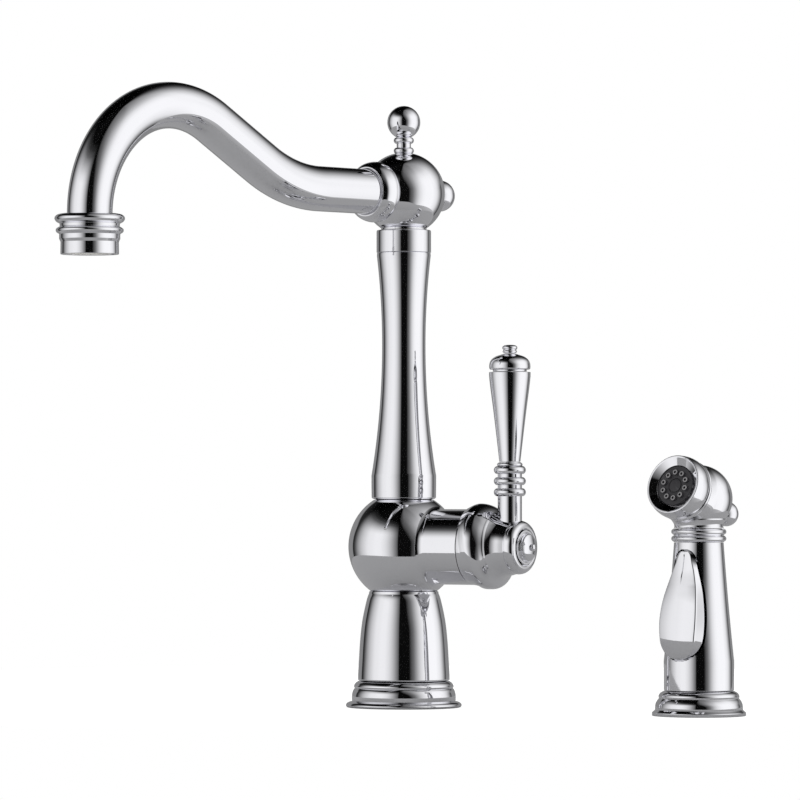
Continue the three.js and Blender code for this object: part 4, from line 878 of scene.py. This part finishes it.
# %% Lever stem
STEM_R = 7.2
RING_R = 9.55
RING_HEIGHT = 39.4
RING_PITCH = 6.6
stem_top = span("lever_grip")[0] - 1.6 - valve_z


def ring(radius, root, height, half):
    """A half-round ring on a stem."""
    bulge = arc(root - 0.2, height, radius - root + 0.2, -66, 66, 12)
    return [(root, height - half), *bulge, (root, height + half)]


stem = [(0, 13), (STEM_R, 13)]
for i in (-1, 0, 1):
    stem += ring(RING_R, STEM_R, RING_HEIGHT + i * RING_PITCH, 2.1)
stem += [(7.0, RING_HEIGHT + RING_PITCH + 2.3), *ring(7.6, 6.6, stem_top - 1.4, 1.3)]
stem += [(6.4, stem_top), (0, stem_top)]
hub_solid = [(0, -4), *outside, *nose, (0, HUB_END - PIVOT)]
hub_bend = [Matrix(), *(leaning(h) for _, h in outside), *(Matrix() for _ in nose), Matrix()]
hub_print = turned("hub_print", hub_solid, pivot_line, 128, bend=hub_bend)
lever_stem = turned("polished_lever_stem", stem, lever_line, 96)
cut(lever_stem, hub_print)
polished(lever_stem, "lever", "lever_stem")

# %% Grip, dome and button
grip_foot, grip_top = (z - valve_z for z in span("lever_grip"))
grip_foot, grip_top = grip_foot - 1.3, grip_top - 0.9
grip = rounded(above(grip_foot, (2.8, 0), (6.3, 0, 0.3), (6.5, 2)))
grip += flowing([*above(grip_foot, (6.5, 2), (8.1, 16), (9.9, 31), (11.6, 44)), (12.35, grip_top - 2.6)], 30)[1:]
grip += rounded(above(grip_top, (12.35, -2.6), (12.4, 0, 0.35), (11.2, 0), (2.8, 0)))[1:]
polished(turned("polished_lever_grip", grip, lever_line), "lever", "lever_grip")

dome_foot, dome_top = (z - valve_z for z in span("lever_dome"))
dome_foot -= 0.9
dome = rounded(above(dome_foot, (2.8, 0), (10.1, 0, 0.2), (10.1, 1.1, 0.2), (11.6, 1.2)))
dome += flowing([
    *above(dome_foot, (11.7, 1.25), (12.15, 1.8), (12.3, 3.2), (12.0, 5.2), (10.9, 7.2), (8.6, 8.9), (5.8, 9.9)),
    (3.6, dome_top - 0.1),
], 40)
dome += [(3.4, dome_top), (2.8, dome_top)]
polished(turned("polished_lever_dome", dome, lever_line), "lever", "lever_dome")

button_foot, button_top = (z - valve_z for z in span("lever_button"))
button_side = above(
    button_foot, (3.6, 0.1), (4.2, 0.5), (4.3, 1.0), (4.0, 1.5), (3.8, 1.85), (4.2, 2.3), (4.5, 3.0), (4.35, 3.8),
)
button_side += above(button_top, (3.4, -0.35), (1.7, -0.03), (0, 0))
button = [(0, button_foot), (3.5, button_foot), *flowing(button_side, 50)]
polished(turned("polished_lever_button", button, lever_line, 64), "lever", "lever_button")

# %% [markdown]
# ## The column
#
# The column is waisted like a vase: a short straight foot, a long curve in to the
# waist, and a shorter one out to the cap band. A parabola on each side of the waist
# gives this with no kink between them.

# %% Column and cap band
COLUMN_FOOT_R = 19.5
COLUMN_FOOT = 14.2
WAIST_R = 13.1
WAIST = 92.6
COLUMN_TOP_R = 16.45
BORE_R = 9.5
column_foot, column_top = span("column")


def column_radius(height):
    """The column's radius at a height above its foot."""
    below = height < WAIST
    end = COLUMN_FOOT_R if below else COLUMN_TOP_R
    run = WAIST - COLUMN_FOOT if below else column_top - column_foot - WAIST
    return WAIST_R + (end - WAIST_R) * ((height - WAIST) / run) ** 2


STEPS = 90
vase = []
for i in range(STEPS + 1):
    height = COLUMN_FOOT + (column_top - column_foot - COLUMN_FOOT) * i / STEPS
    vase.append((column_radius(height), column_foot + height))
# The underside is a shallow hollow cone, so that the joint with the ball shows as a dark line.
column = rounded(above(
    column_foot, (BORE_R, 0), (16.2, 0), (16.5, -LIP), (18.75, 0.3, 0.25), (19.4, 1.0, 0.55), (COLUMN_FOOT_R, 8),
))
column += vase[:-1]
column += above(column_top, (COLUMN_TOP_R - 0.3, 0), (15.6, 0), (15.2, LIP), (14.8, 0), (BORE_R, 0))
polished(turned("polished_column", column, segments=128), "main", "column")

cap_foot, cap_top = span("cap_band")
band = rounded([
    (BORE_R, cap_foot), (COLUMN_TOP_R, cap_foot, 0.35), (COLUMN_TOP_R, cap_top, 1.0), (14.6, cap_top, 0.3),
    (BORE_R, cap_top),
])
polished(turned("polished_cap_band", band, segments=128), "main", "cap_band")

# %% [markdown]
# ## The spout's hub
#
# A ball that turns on the column, a collar round the tube, a finial on top and a small
# ball at the back. The collar, the finial and the small ball all point at the middle of
# the hub's ball, so their hidden ends can be turned to its curve and need no cutting.

# %% Hub ball
HUB_R = 24.9
HUB_NECK_R = 13.8
ON_HUB = HUB_R + GAP  # where a piece that sits on the ball begins
hub_foot = span("spout_hub")[0]
start = math.degrees(math.asin(-math.sqrt(HUB_R**2 - HUB_NECK_R**2) / HUB_R))
hub = turned("polished_spout_hub", [
    (0, hub_foot), (13.75, hub_foot), (13.7, hub_foot + 0.4),
    *arc(0, hub_z, HUB_R, start, 90, 60)[:-1], (0, hub_z + HUB_R),
], spout_plane, 128)
cut(
    hub,
    rod(13.3, hub_foot - 1, hub_foot + 1.5, segments=64),
    rod(BORE_R, hub_foot, hub_z, segments=64),
    rod(9, 0, 12.2, spout_line),
    rod(14, 11.7, HUB_R + 1, spout_line, 64),
)
polished(hub, "spout", "spout_hub")

# %% Collar


def on_ball(ball_r, outer, inner, steps=10):
    """The hidden end of a piece that sits on a ball: an arc from its outer to its inner radius."""
    first, last = (math.degrees(math.acos(r / ball_r)) for r in (outer, inner))
    return arc(0, 0, ball_r, first, last, steps)


def seated(ball_r, outer, inner, steps):
    """The start of a solid piece that sits on a ball: from the axis out to its outer radius."""
    return [(0, ball_r), *reversed(on_ball(ball_r, outer, inner, steps)[:-1])]


COLLAR_R = 18.2
TUBE_R = 13.4
collar_end = 33.3
collar = [*reversed(on_ball(ON_HUB, 15.0, TUBE_R + 0.05))]
collar += flowing([
    (15.1, 20.4), (16.4, 20.9), (17.4, 22.0), (18.0, 23.8), (COLLAR_R, 26.0), (17.8, 28.6), (16.9, 31.0),
    (15.4, 32.8),
], 42)
collar += rounded([
    (COLLAR_R - 2.9, 32.9), (COLLAR_R - 3.4, collar_end, 0.3), (COLLAR_R - 4.0, collar_end, 0.3),
    (TUBE_R + 0.05, 32.8),
])[1:]
polished(turned("polished_collar", collar, spout_line, 96), "spout", "spout_collar")

# %% Finial
FINIAL_R = 9.95
BALL_OVER_HUB = 18.25
finial = seated(ON_HUB, 5.6, 0.4, 6)
for share in (0.06, 0.4):
    finial += ring(6.1, 4.3, HUB_R + BALL_OVER_HUB * share, 1.45)
neck_angle = -math.degrees(math.acos(4.1 / FINIAL_R))
finial += arc(0, HUB_R + BALL_OVER_HUB, FINIAL_R, neck_angle, 90, 40)[:-1]
finial += [(0, HUB_R + BALL_OVER_HUB + FINIAL_R)]
polished(turned("polished_finial", finial, at(z=hub_z), 96), "spout", "hub_finial")

# %% Small ball at the back
BACK_R = 9.5
BACK_AT = 31.3
touch = (BACK_AT**2 + ON_HUB**2 - BACK_R**2) / (2 * BACK_AT)
seat_r = math.sqrt(ON_HUB**2 - touch**2)
first = -math.degrees(math.acos(seat_r / BACK_R))
back_ball = seated(ON_HUB, seat_r, 0.3, 8)
back_ball += [*arc(0, BACK_AT, BACK_R, first, 90, 36)[1:-1], (0, BACK_AT + BACK_R)]
polished(turned("polished_back_ball", back_ball, spout_line @ BACKWARDS, 96), "spout", "hub_back_ball")

# %% [markdown]
# ## The spout's tube
#
# The tube is bent from one length: level out of the hub, a gentle bend upwards, a short
# straight stretch, and the big crook over the sink. A curve with a bevel could make it,
# but a skin over rings gives a wall with a real bore and lets the tube narrow a little
# towards its outlet, as a bent tube does.

# %% Tube
LEVEL_END = 73
RISE_R = 100
RISE_ANGLE = math.radians(29)
RISE = 46
CROOK_R = 65
TUBE_START = 12
INTO_OUTLET = 12.5
TUBE_WALL = 1.5

line = []


def march(length, turn_r=0.0, spacing=2.2):
    """Goes on along the tube's line by a length, straight or round a bend, upwards if turn_r is positive."""
    steps = max(1, round(length / spacing))
    for _ in range(steps):
        x, z, heading = line[-1]
        change = length / steps / turn_r if turn_r else 0.0
        chord = length / steps * (math.sin(change / 2) / (change / 2) if change else 1.0)
        along = heading + change / 2
        line.append((x + chord * math.cos(along), z + chord * math.sin(along), heading + change))


line.append((TUBE_START, hub_z, 0.0))
march(LEVEL_END - TUBE_START, spacing=6)
march(RISE_R * RISE_ANGLE, RISE_R)
march(RISE, spacing=6)
march(CROOK_R * (RISE_ANGLE + math.pi / 2), -CROOK_R)
march(INTO_OUTLET, spacing=3)
reach = line[-1][0]


def tube_rings(radius_at, count):
    """A ring of points round each point of the line. The radius depends on the share of the way."""
    rings = []
    turns = [math.tau * k / count for k in range(count)]
    sideways = Vector((0, 1, 0))
    for i, (x, z, heading) in enumerate(line):
        radius = radius_at(i / (len(line) - 1))
        across = Vector((-math.sin(heading), 0, math.cos(heading)))
        rings.append([
            Vector((x, 0, z)) + radius * (math.cos(turn) * across + math.sin(turn) * sideways) for turn in turns
        ])
    return rings


def outer_radius(share):
    """The drawn tube is a little narrower where it leaves the crook."""
    narrowing = max(0.0, (share - 0.7) / 0.3)
    return TUBE_R - 0.5 * narrowing * narrowing * (3 - 2 * narrowing)


COUNT = 72
bore = tube_rings(lambda share: outer_radius(share) - TUBE_WALL, COUNT)
walls = [*tube_rings(outer_radius, COUNT), *reversed(bore)]
numbers = [list(range(i * COUNT, (i + 1) * COUNT)) for i in range(len(walls))]
tube_points = [p for one in walls for p in one]
tube = solid("polished_spout_tube", tube_points, skin(numbers, closed_end_to_end=True), spout_plane)
tube.data.flip_normals()
polished(tube, "spout", "spout_tube")
print(f"the outlet hangs {reach:.1f} mm from the column")

# %% [markdown]
# ## The outlet
#
# The shell that ends the spout has a strong ring, a groove, a thinner ring and a
# straight mouth. Inside it sits the aerator, a nylon disc with a mesh of small holes.

# %% Outlet shell and aerator
outlet_line = spout_plane @ at(x=reach)
mouth, lip = span("outlet_shell")
shell = above(lip, (14.0, 0), (16.4, 0))
shell += flowing(above(
    lip, (16.4, 0), (18.4, -0.5), (19.7, -1.7), (19.9, -3.1), (19.0, -4.5), (17.8, -5.2),
), 24)[1:]
shell += rounded(above(lip, (17.8, -5.2), (17.1, -5.6, 0.3), (17.0, -7.2, 0.3), (17.9, -7.7)))[1:-1]
shell += flowing(above(lip, (17.9, -7.7), (18.9, -8.4), (19.25, -9.4), (18.8, -10.5), (17.7, -11.2)), 18)
shell += rounded([
    *above(lip, (17.7, -11.2), (17.3, -11.6, 0.2), (17.3, -14.2, 0.6), (16.5, -16.0, 0.8)),
    *above(mouth, (16.6, 0, 0.4), (15.1, 0, 0.4), (14.6, 1.2)), *above(lip, (14.6, -13), (14.0, -13)),
])[1:]
polished(turned("polished_outlet", shell, outlet_line, 128), "spout", "outlet_shell")

insert_foot, insert_top = span("aerator_insert")
insert_side = above(insert_foot, (0, 0), (12.4, 0, 0.3), (14.3, 1.6, 0.4)) + above(insert_top, (14.3, 0), (0, 0))
insert = turned("aerator_mesh", rounded(insert_side), outlet_line, 72)
PITCH = 3.7
HOLE_R = 1.35
sieve = [
    (PITCH * (q + r / 2), PITCH * r * math.sin(math.pi / 3))
    for q in range(-3, 4) for r in range(-3, 4) if abs(q + r) <= 3
]
holes = [rod(HOLE_R, insert_foot - 1, insert_top + 1, outlet_line @ at(x, y), 12) for x, y in sieve]
bpy.context.view_layer.objects.active = holes[0]
with bpy.context.temp_override(active_object=holes[0], selected_editable_objects=holes):
    bpy.ops.object.join()
cut(insert, holes[0])
dress(insert, "spout", nylon, "nylon", "aerator_insert")

# %% [markdown]
# ## The spray's holder
#
# A second, smaller escutcheon: a flange, a step and a slope up to the hand piece.

# %% Holder
holder_top = span("spray_holder")[1]
holder = [(17, deck)]
holder += rounded([(20, deck), (27.3, deck, 0.4), (27.3, 1.9, 0.6), (26.0, 3.0, 0.5), (25.5, 3.5)])[1:]
holder += flowing([(25.5, 3.5), (25.5, 5.2), (25.2, 7.0), (24.3, 8.8), (23.4, 9.9)], 16)[1:]
holder += flowing([(23.3, 10.1), (23.5, 11.2), (23.1, 12.4), (22.2, 13.4), (20.9, holder_top - 0.3)], 16)
holder += [(20.3, holder_top), (17, holder_top)]
polished(turned("polished_spray_holder", holder, at(spray_x), 128), "main", "spray_holder")

# %% [markdown]
# ## The hand spray's body
#
# A straight foot and a hollow taper, with a recess for the trigger. The recess is cut
# with a solid of the trigger's own outline, made a little wider all round.

# %% Trigger outline
# height, half width at the body, half width of the face, distance of the face from the axis
STATIONS = [
    (33.0, 1.6, 1.4, 20.6), (33.4, 4.4, 4.0, 21.4), (34.6, 7.2, 6.7, 22.4), (37.2, 10.2, 9.4, 23.5),
    (41.2, 12.0, 11.4, 24.2), (46.5, 12.7, 12.3, 24.5), (55.4, 12.7, 12.8, 23.9), (65, 12.0, 12.1, 22.3),
    (74, 10.8, 10.5, 19.9), (83, 8.8, 7.8, 17.3), (89, 7.2, 5.4, 15.9), (93, 5.6, 4.0, 15.2),
    (95.0, 3.6, 2.6, 14.8), (95.7, 1.4, 1.0, 14.5),
]
stations = flowing(STATIONS, 117)
print("trigger stations:", len(stations))


def closed_loft(name, rings, place):
    """A skin over rings of equally many points, with a fan at both ends."""
    count = len(rings[0])
    middles = [sum((Vector(p) for p in one), Vector((0, 0, 0))) / count for one in (rings[0], rings[-1])]
    points = [middles[0], *(p for one in rings for p in one), middles[1]]
    numbers = [[0], *([1 + i * count + k for k in range(count)] for i in range(len(rings))), [len(points) - 1]]
    return solid(name, points, skin(numbers), place)


# %% Spray body
FOOT_R = 20.4
TOP_R = 14.4
MIDDLE_R = 17.1
SHANK_R, SHANK = 14.1, 11.6  # the part that stands down in the holder
FLOOR_X = 6.6  # the floor of the recess, from the axis
seat = holder_top + GAP
taper_foot = seat + 17
taper_top = span("spray_collar")[0] - GAP


def spray_radius(z):
    """The taper's radius at a height: a straight line with a little sag in the middle."""
    t = max(0.0, min(1.0, (z - taper_foot) / (taper_top - taper_foot)))
    sag = 4 * (MIDDLE_R - (FOOT_R + TOP_R) / 2)
    return FOOT_R + (TOP_R - FOOT_R) * t + sag * t * (1 - t)


taper_heights = [taper_foot + (taper_top - taper_foot) * i / 50 for i in range(51)]
taper = [(spray_radius(z), z) for z in taper_heights]
body = turned("polished_spray_body", [
    *above(seat, (0, -SHANK), (SHANK_R, -SHANK), (SHANK_R, 0)),
    *rounded(above(seat, (15, 0), (FOOT_R, 0, 0.4), (FOOT_R, 3)))[1:-1],
    *above(taper_foot, (FOOT_R, -1.2), (FOOT_R, -0.5)), *taper, (0, taper_top),
], spray_line, 128)

GAP_ROUND_TRIGGER = 0.95
recess = []
for i, (z, half, _, _) in enumerate(stations):
    share = i / (len(stations) - 1)
    height = z - 1.1 * (1 - min(1, share * 6)) + GAP_ROUND_TRIGGER * max(0, share * 6 - 5)
    wide = half + GAP_ROUND_TRIGGER
    recess.append([(FLOOR_X, -wide, height), (30, -wide, height), (30, wide, height), (FLOOR_X, wide, height)])
cut(
    body,
    closed_loft("recess", recess, spray_line),
    rod(8.9, seat - SHANK - 1, seat + 5, spray_line),
    rod(4.3, seat, taper_top + 1, spray_line),
    rod(2.5, 3.3, 7.6, spray_line @ at(z=75) @ LAID_ALONG_X, 24),
)
polished(body, "spray", "spray_body")

# %% [markdown]
# ## The trigger
#
# A paddle with a broad, slightly crowned face, a clean ridge down each side, and a
# short crease at its top. Each ring of its skin is a rounded section at one height. A
# hole takes the pin, and a pocket in the back makes room for the spring when the
# trigger is pressed in.

# %% Trigger paddle
BACK_FOOT_X = 14.2
BACK_TOP_X = 8.2
CREASE_FROM, CREASE_TO = 77.0, 94.5
SPRING_Z = middle("trigger_spring").z


def paddle_section(z, half, face_half, face_x):
    """One ring of the trigger's skin: its right side, and the same mirrored."""
    t = (z - STATIONS[0][0]) / (STATIONS[-1][0] - STATIONS[0][0])
    back = BACK_FOOT_X + (BACK_TOP_X - BACK_FOOT_X) * t
    shoulder = max(math.sqrt(max(spray_radius(z) ** 2 - half**2, 1)), back + 0.6)
    crown = 1.5 * min(1, face_half / 10) ** 2
    ridge = rounded([
        (half, shoulder), (face_half, face_x - crown, 1.1), (face_half * 0.7, face_x - crown * 0.49),
    ], 6)[1:-1]
    rise = shoulder - back - 0.3
    wall = [(half * 0.9, back), (half, back + 0.3), *((half, back + 0.3 + rise * i / 3) for i in (1, 2, 3))]
    side_wall = [tuple(a + (b - a) * i / 5 for a, b in zip((half, shoulder), ridge[0])) for i in range(1, 5)]
    inwards = [ridge[-1][0] * (1 - i / 12) for i in range(1, 12)]
    top = [(y, face_x - crown * (y / face_half) ** 2) for y in inwards]
    right = [*wall, *side_wall, *ridge, *top]
    depth = 0.55 * max(0.0, min(1.0, (z - CREASE_FROM) / 7)) * max(0.0, min(1.0, (CREASE_TO - z) / 2))
    right = [(y, x) for y, x in right if y > 0.9] + [(y * 0.5 + 0.45, x) for y, x in right if y <= 0.9]
    crease = [(0.4, face_x - 0.02), (0.2, face_x - 0.02 - depth * 0.6), (0, face_x - 0.02 - depth)]
    side = [*right, *crease]
    return [(x, y, z) for y, x in side] + [(x, -y, z) for y, x in reversed(side[:-1])]


paddle = closed_loft("polished_trigger", [paddle_section(*s) for s in stations], spray_line)
pin_hole = rod(1.55, -22, 22, spray_line @ at(10.5, 0, 91) @ Matrix.Rotation(-math.pi / 2, 4, "X"), 24)
spring_pocket = rod(4.4, 4, 15.5, spray_line @ at(z=SPRING_Z) @ LAID_ALONG_X, 32)
cut(paddle, pin_hole, spring_pocket)
polished(paddle, "trigger", "spray_trigger")

# %% [markdown]
# ## The spray's head
#
# Two rings on a collar, a ball that runs forward into a short neck, a bezel with a
# bright rim and a sunken rubber face, and a small ball at the back.

# %% Collar rings
collar_foot, collar_top = span("spray_collar")
rings = [(4.3, collar_foot), (14.8, collar_foot)]
for height in (collar_foot + 1.95, collar_foot + 5.95):
    rings += ring(16.0, 14.5, height, 1.9)
rings += [(13.5, collar_top), (4.3, collar_top)]
polished(turned("polished_spray_collar", rings, spray_line, 96), "spray", "spray_collar")

# %% Head ball
HEAD_R = 19.6
SHOULDER_R = 17.7
FRONT = 13.4
head_foot = collar_top + GAP - head_z
shoulder = math.degrees(math.acos(SHOULDER_R / HEAD_R))
head = turned("polished_spray_head", [
    (0, -HEAD_R), *arc(0, 0, HEAD_R, -90, shoulder - 3, 60)[1:],
    (SHOULDER_R, math.sqrt(HEAD_R**2 - SHOULDER_R**2) + 0.5),
    *above(FRONT, (SHOULDER_R - 0.25, -1.5), (SHOULDER_R - 0.4, -0.3), (SHOULDER_R - 0.7, 0), (0, 0)),
], head_line, 128)
head_up = spray_line @ at(z=head_z)
neck = turned("neck", [
    (0, head_foot), (14.5, head_foot),
    *flowing([(14.4, head_foot + 0.2), (14.2, -15.9), (14.5, -14.6), (15.2, -13.4), (16.05, -12.2)], 16),
    (15.0, -6), (0, -6),
], head_up, 128)
join(head, neck)
cut(head, rod(HEAD_R + 2, -HEAD_R - 3, head_foot, head_up, 64))
join(head, rod(12, 0, FRONT + 5, head_line, 64))
cut(
    head,
    rod(9, 1, FRONT + 6, head_line, 64),
    rod(4.3, head_foot - 1, 0, head_up, 32),
    rod(2.8, -HEAD_R - 1, -HEAD_R + 8, head_line, 24),
)
polished(head, "spray", "spray_head")

# %% Bezel
RIM_R = 17.5
BEZEL_END = 28.3
FACE = BEZEL_END - 2.9  # the rubber face is sunk into the bezel
bezel = above(FRONT, (12.3, 0.3), (16.9, 0.3))
bezel += flowing(above(FRONT, (17.3, 0.4), (18.1, 0.9), (18.4, 1.7), (18.2, 2.5), (17.7, 3.0)), 20)
bezel += flowing([
    *above(FRONT, (17.75, 3.2), (18.2, 4.2), (18.55, 6.2), (18.6, 8.4), (18.4, 10.6), (18.0, 12.4)),
    (17.7, BEZEL_END - 1.4),
], 36)
bezel += rounded([
    *above(BEZEL_END, (17.6, -1.2), (RIM_R, 0, 0.9), (RIM_R - 1.2, -0.1, 0.6)),
    *above(FACE, (12.1, 0.3, 0.3), (12.1, -1), (14.6, -1), (14.6, -8.2), (12.3, -8.2)), (12.3, FRONT + 0.3),
], 6)[:-1]
polished(turned("polished_bezel", bezel, head_line, 128), "spray", "spray_bezel")

# %% [markdown]
# ## The spray's face
#
# A black rubber disc with ten nozzles in a circle and a plain pad in the middle. Each
# nozzle is a short tube. Its forward faces are a pale grey, partly their own colour and
# partly a painted highlight. Its bore ends in the disc, because nobody can see further
# down so small a hole.

# %% Rubber face
NOZZLES = 10
NOZZLE_CIRCLE = 7.8
NOZZLE_TURN = math.radians(6)
face = turned("spray_face_disc", rounded(above(
    FACE, (0, -5.2), (14.3, -5.2), (14.3, -1.3), (11.8, -1.3), (11.8, 0, 0.3), (4.6, 0, 0.2), (4.3, -0.5, 0.1),
    (3.9, -0.4, 0.1), (3.8, 0.2, 0.2), (0, 0.4),
)), head_line, 96)
face.data.materials.append(face_rubber)
tips = []
nozzle = above(FACE, (0, -1), (1.65, -1), (1.55, 1.6, 0.45), (0.75, 1.65, 0.2), (0.7, -0.4), (0, -0.4))
for i in range(NOZZLES):
    turn = head_line @ Matrix.Rotation(math.tau * i / NOZZLES + NOZZLE_TURN, 4, "Z") @ at(x=NOZZLE_CIRCLE)
    tip = turned("tip", rounded(nozzle), turn, 24)
    tip.data.materials.append(face_rubber)
    tip.data.materials.append(nozzle_grey_and_painted_highlight)
    # The tip's forward faces get the pale grey, which is partly its own colour and partly a painted highlight.
    to_front = turn.to_3x3() @ Vector((0, 0, 1))
    for polygon in tip.data.polygons:
        depth = (turn.inverted() @ polygon.center).z / MM
        polygon.material_index = 1 if polygon.normal.dot(to_front) > 0.3 and depth > FACE + 0.5 else 0
    tips.append(tip)
with bpy.context.temp_override(active_object=tips[0], selected_editable_objects=[face, *tips]):
    bpy.ops.object.join()
tips[0].name = "spray_face_rubber"
face = tips[0]
dress(face, "spray", face_rubber, "rubber", "spray_face")

# %% Small ball behind the head
BALL_BACK_R = 7.3
BALL_BACK = 29.8
STALK_R = 3.4
join_angle = -math.degrees(math.acos(STALK_R / BALL_BACK_R))
rear = seated(HEAD_R + GAP, STALK_R, 0.3, 6)
rear += [*arc(0, BALL_BACK, BALL_BACK_R, join_angle, 90, 32)[:-1], (0, BALL_BACK + BALL_BACK_R)]
polished(turned("polished_spray_back_ball", rear, head_line @ BACKWARDS, 72), "spray", "spray_back_ball")

# %% [markdown]
# ## The parts inside
#
# The CAD nodes whose shape is right stay as they are and get their finish by material
# slot. They show only when the handle opens, when the spray is lifted, or from below.

# %% Finishes on the CAD nodes that stay
finishes = {
    "rubber": (rubber, [
        "base_gasket", "cartridge_seal", "lower_o_ring", "upper_o_ring", "aerator_washer", "hose_o_ring",
        "plunger_seal",
    ]),
    "brass": (brass, [
        "base_plate", "cartridge_nut", "swivel_post", "valve_spindle", "lever_root", "hose_connector",
        "valve_plunger",
    ]),
    "copper": (copper, ["hot_supply_tube", "cold_supply_tube", "spray_supply_tube", "riser_tube"]),
    "steel": (steel, ["tilt_pin", "handle_screw", "lever_rod", "trigger_pin", "trigger_spring"]),
    "nylon": (nylon, ["swivel_washer", "holder_bush", "diverter_spool", "spray_water_tube"]),
    "grey_plastic": (grey_plastic, ["cartridge_housing"]),
    "ceramic": (ceramic, ["fixed_ceramic_disc", "moving_ceramic_disc"]),
}
for slot_name, (look, nodes) in finishes.items():
    for name in nodes:
        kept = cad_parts[name]
        kept.data.materials.clear()
        kept.data.materials.append(look)
print("kept CAD nodes:", sum(len(nodes) for _, nodes in finishes.values()))
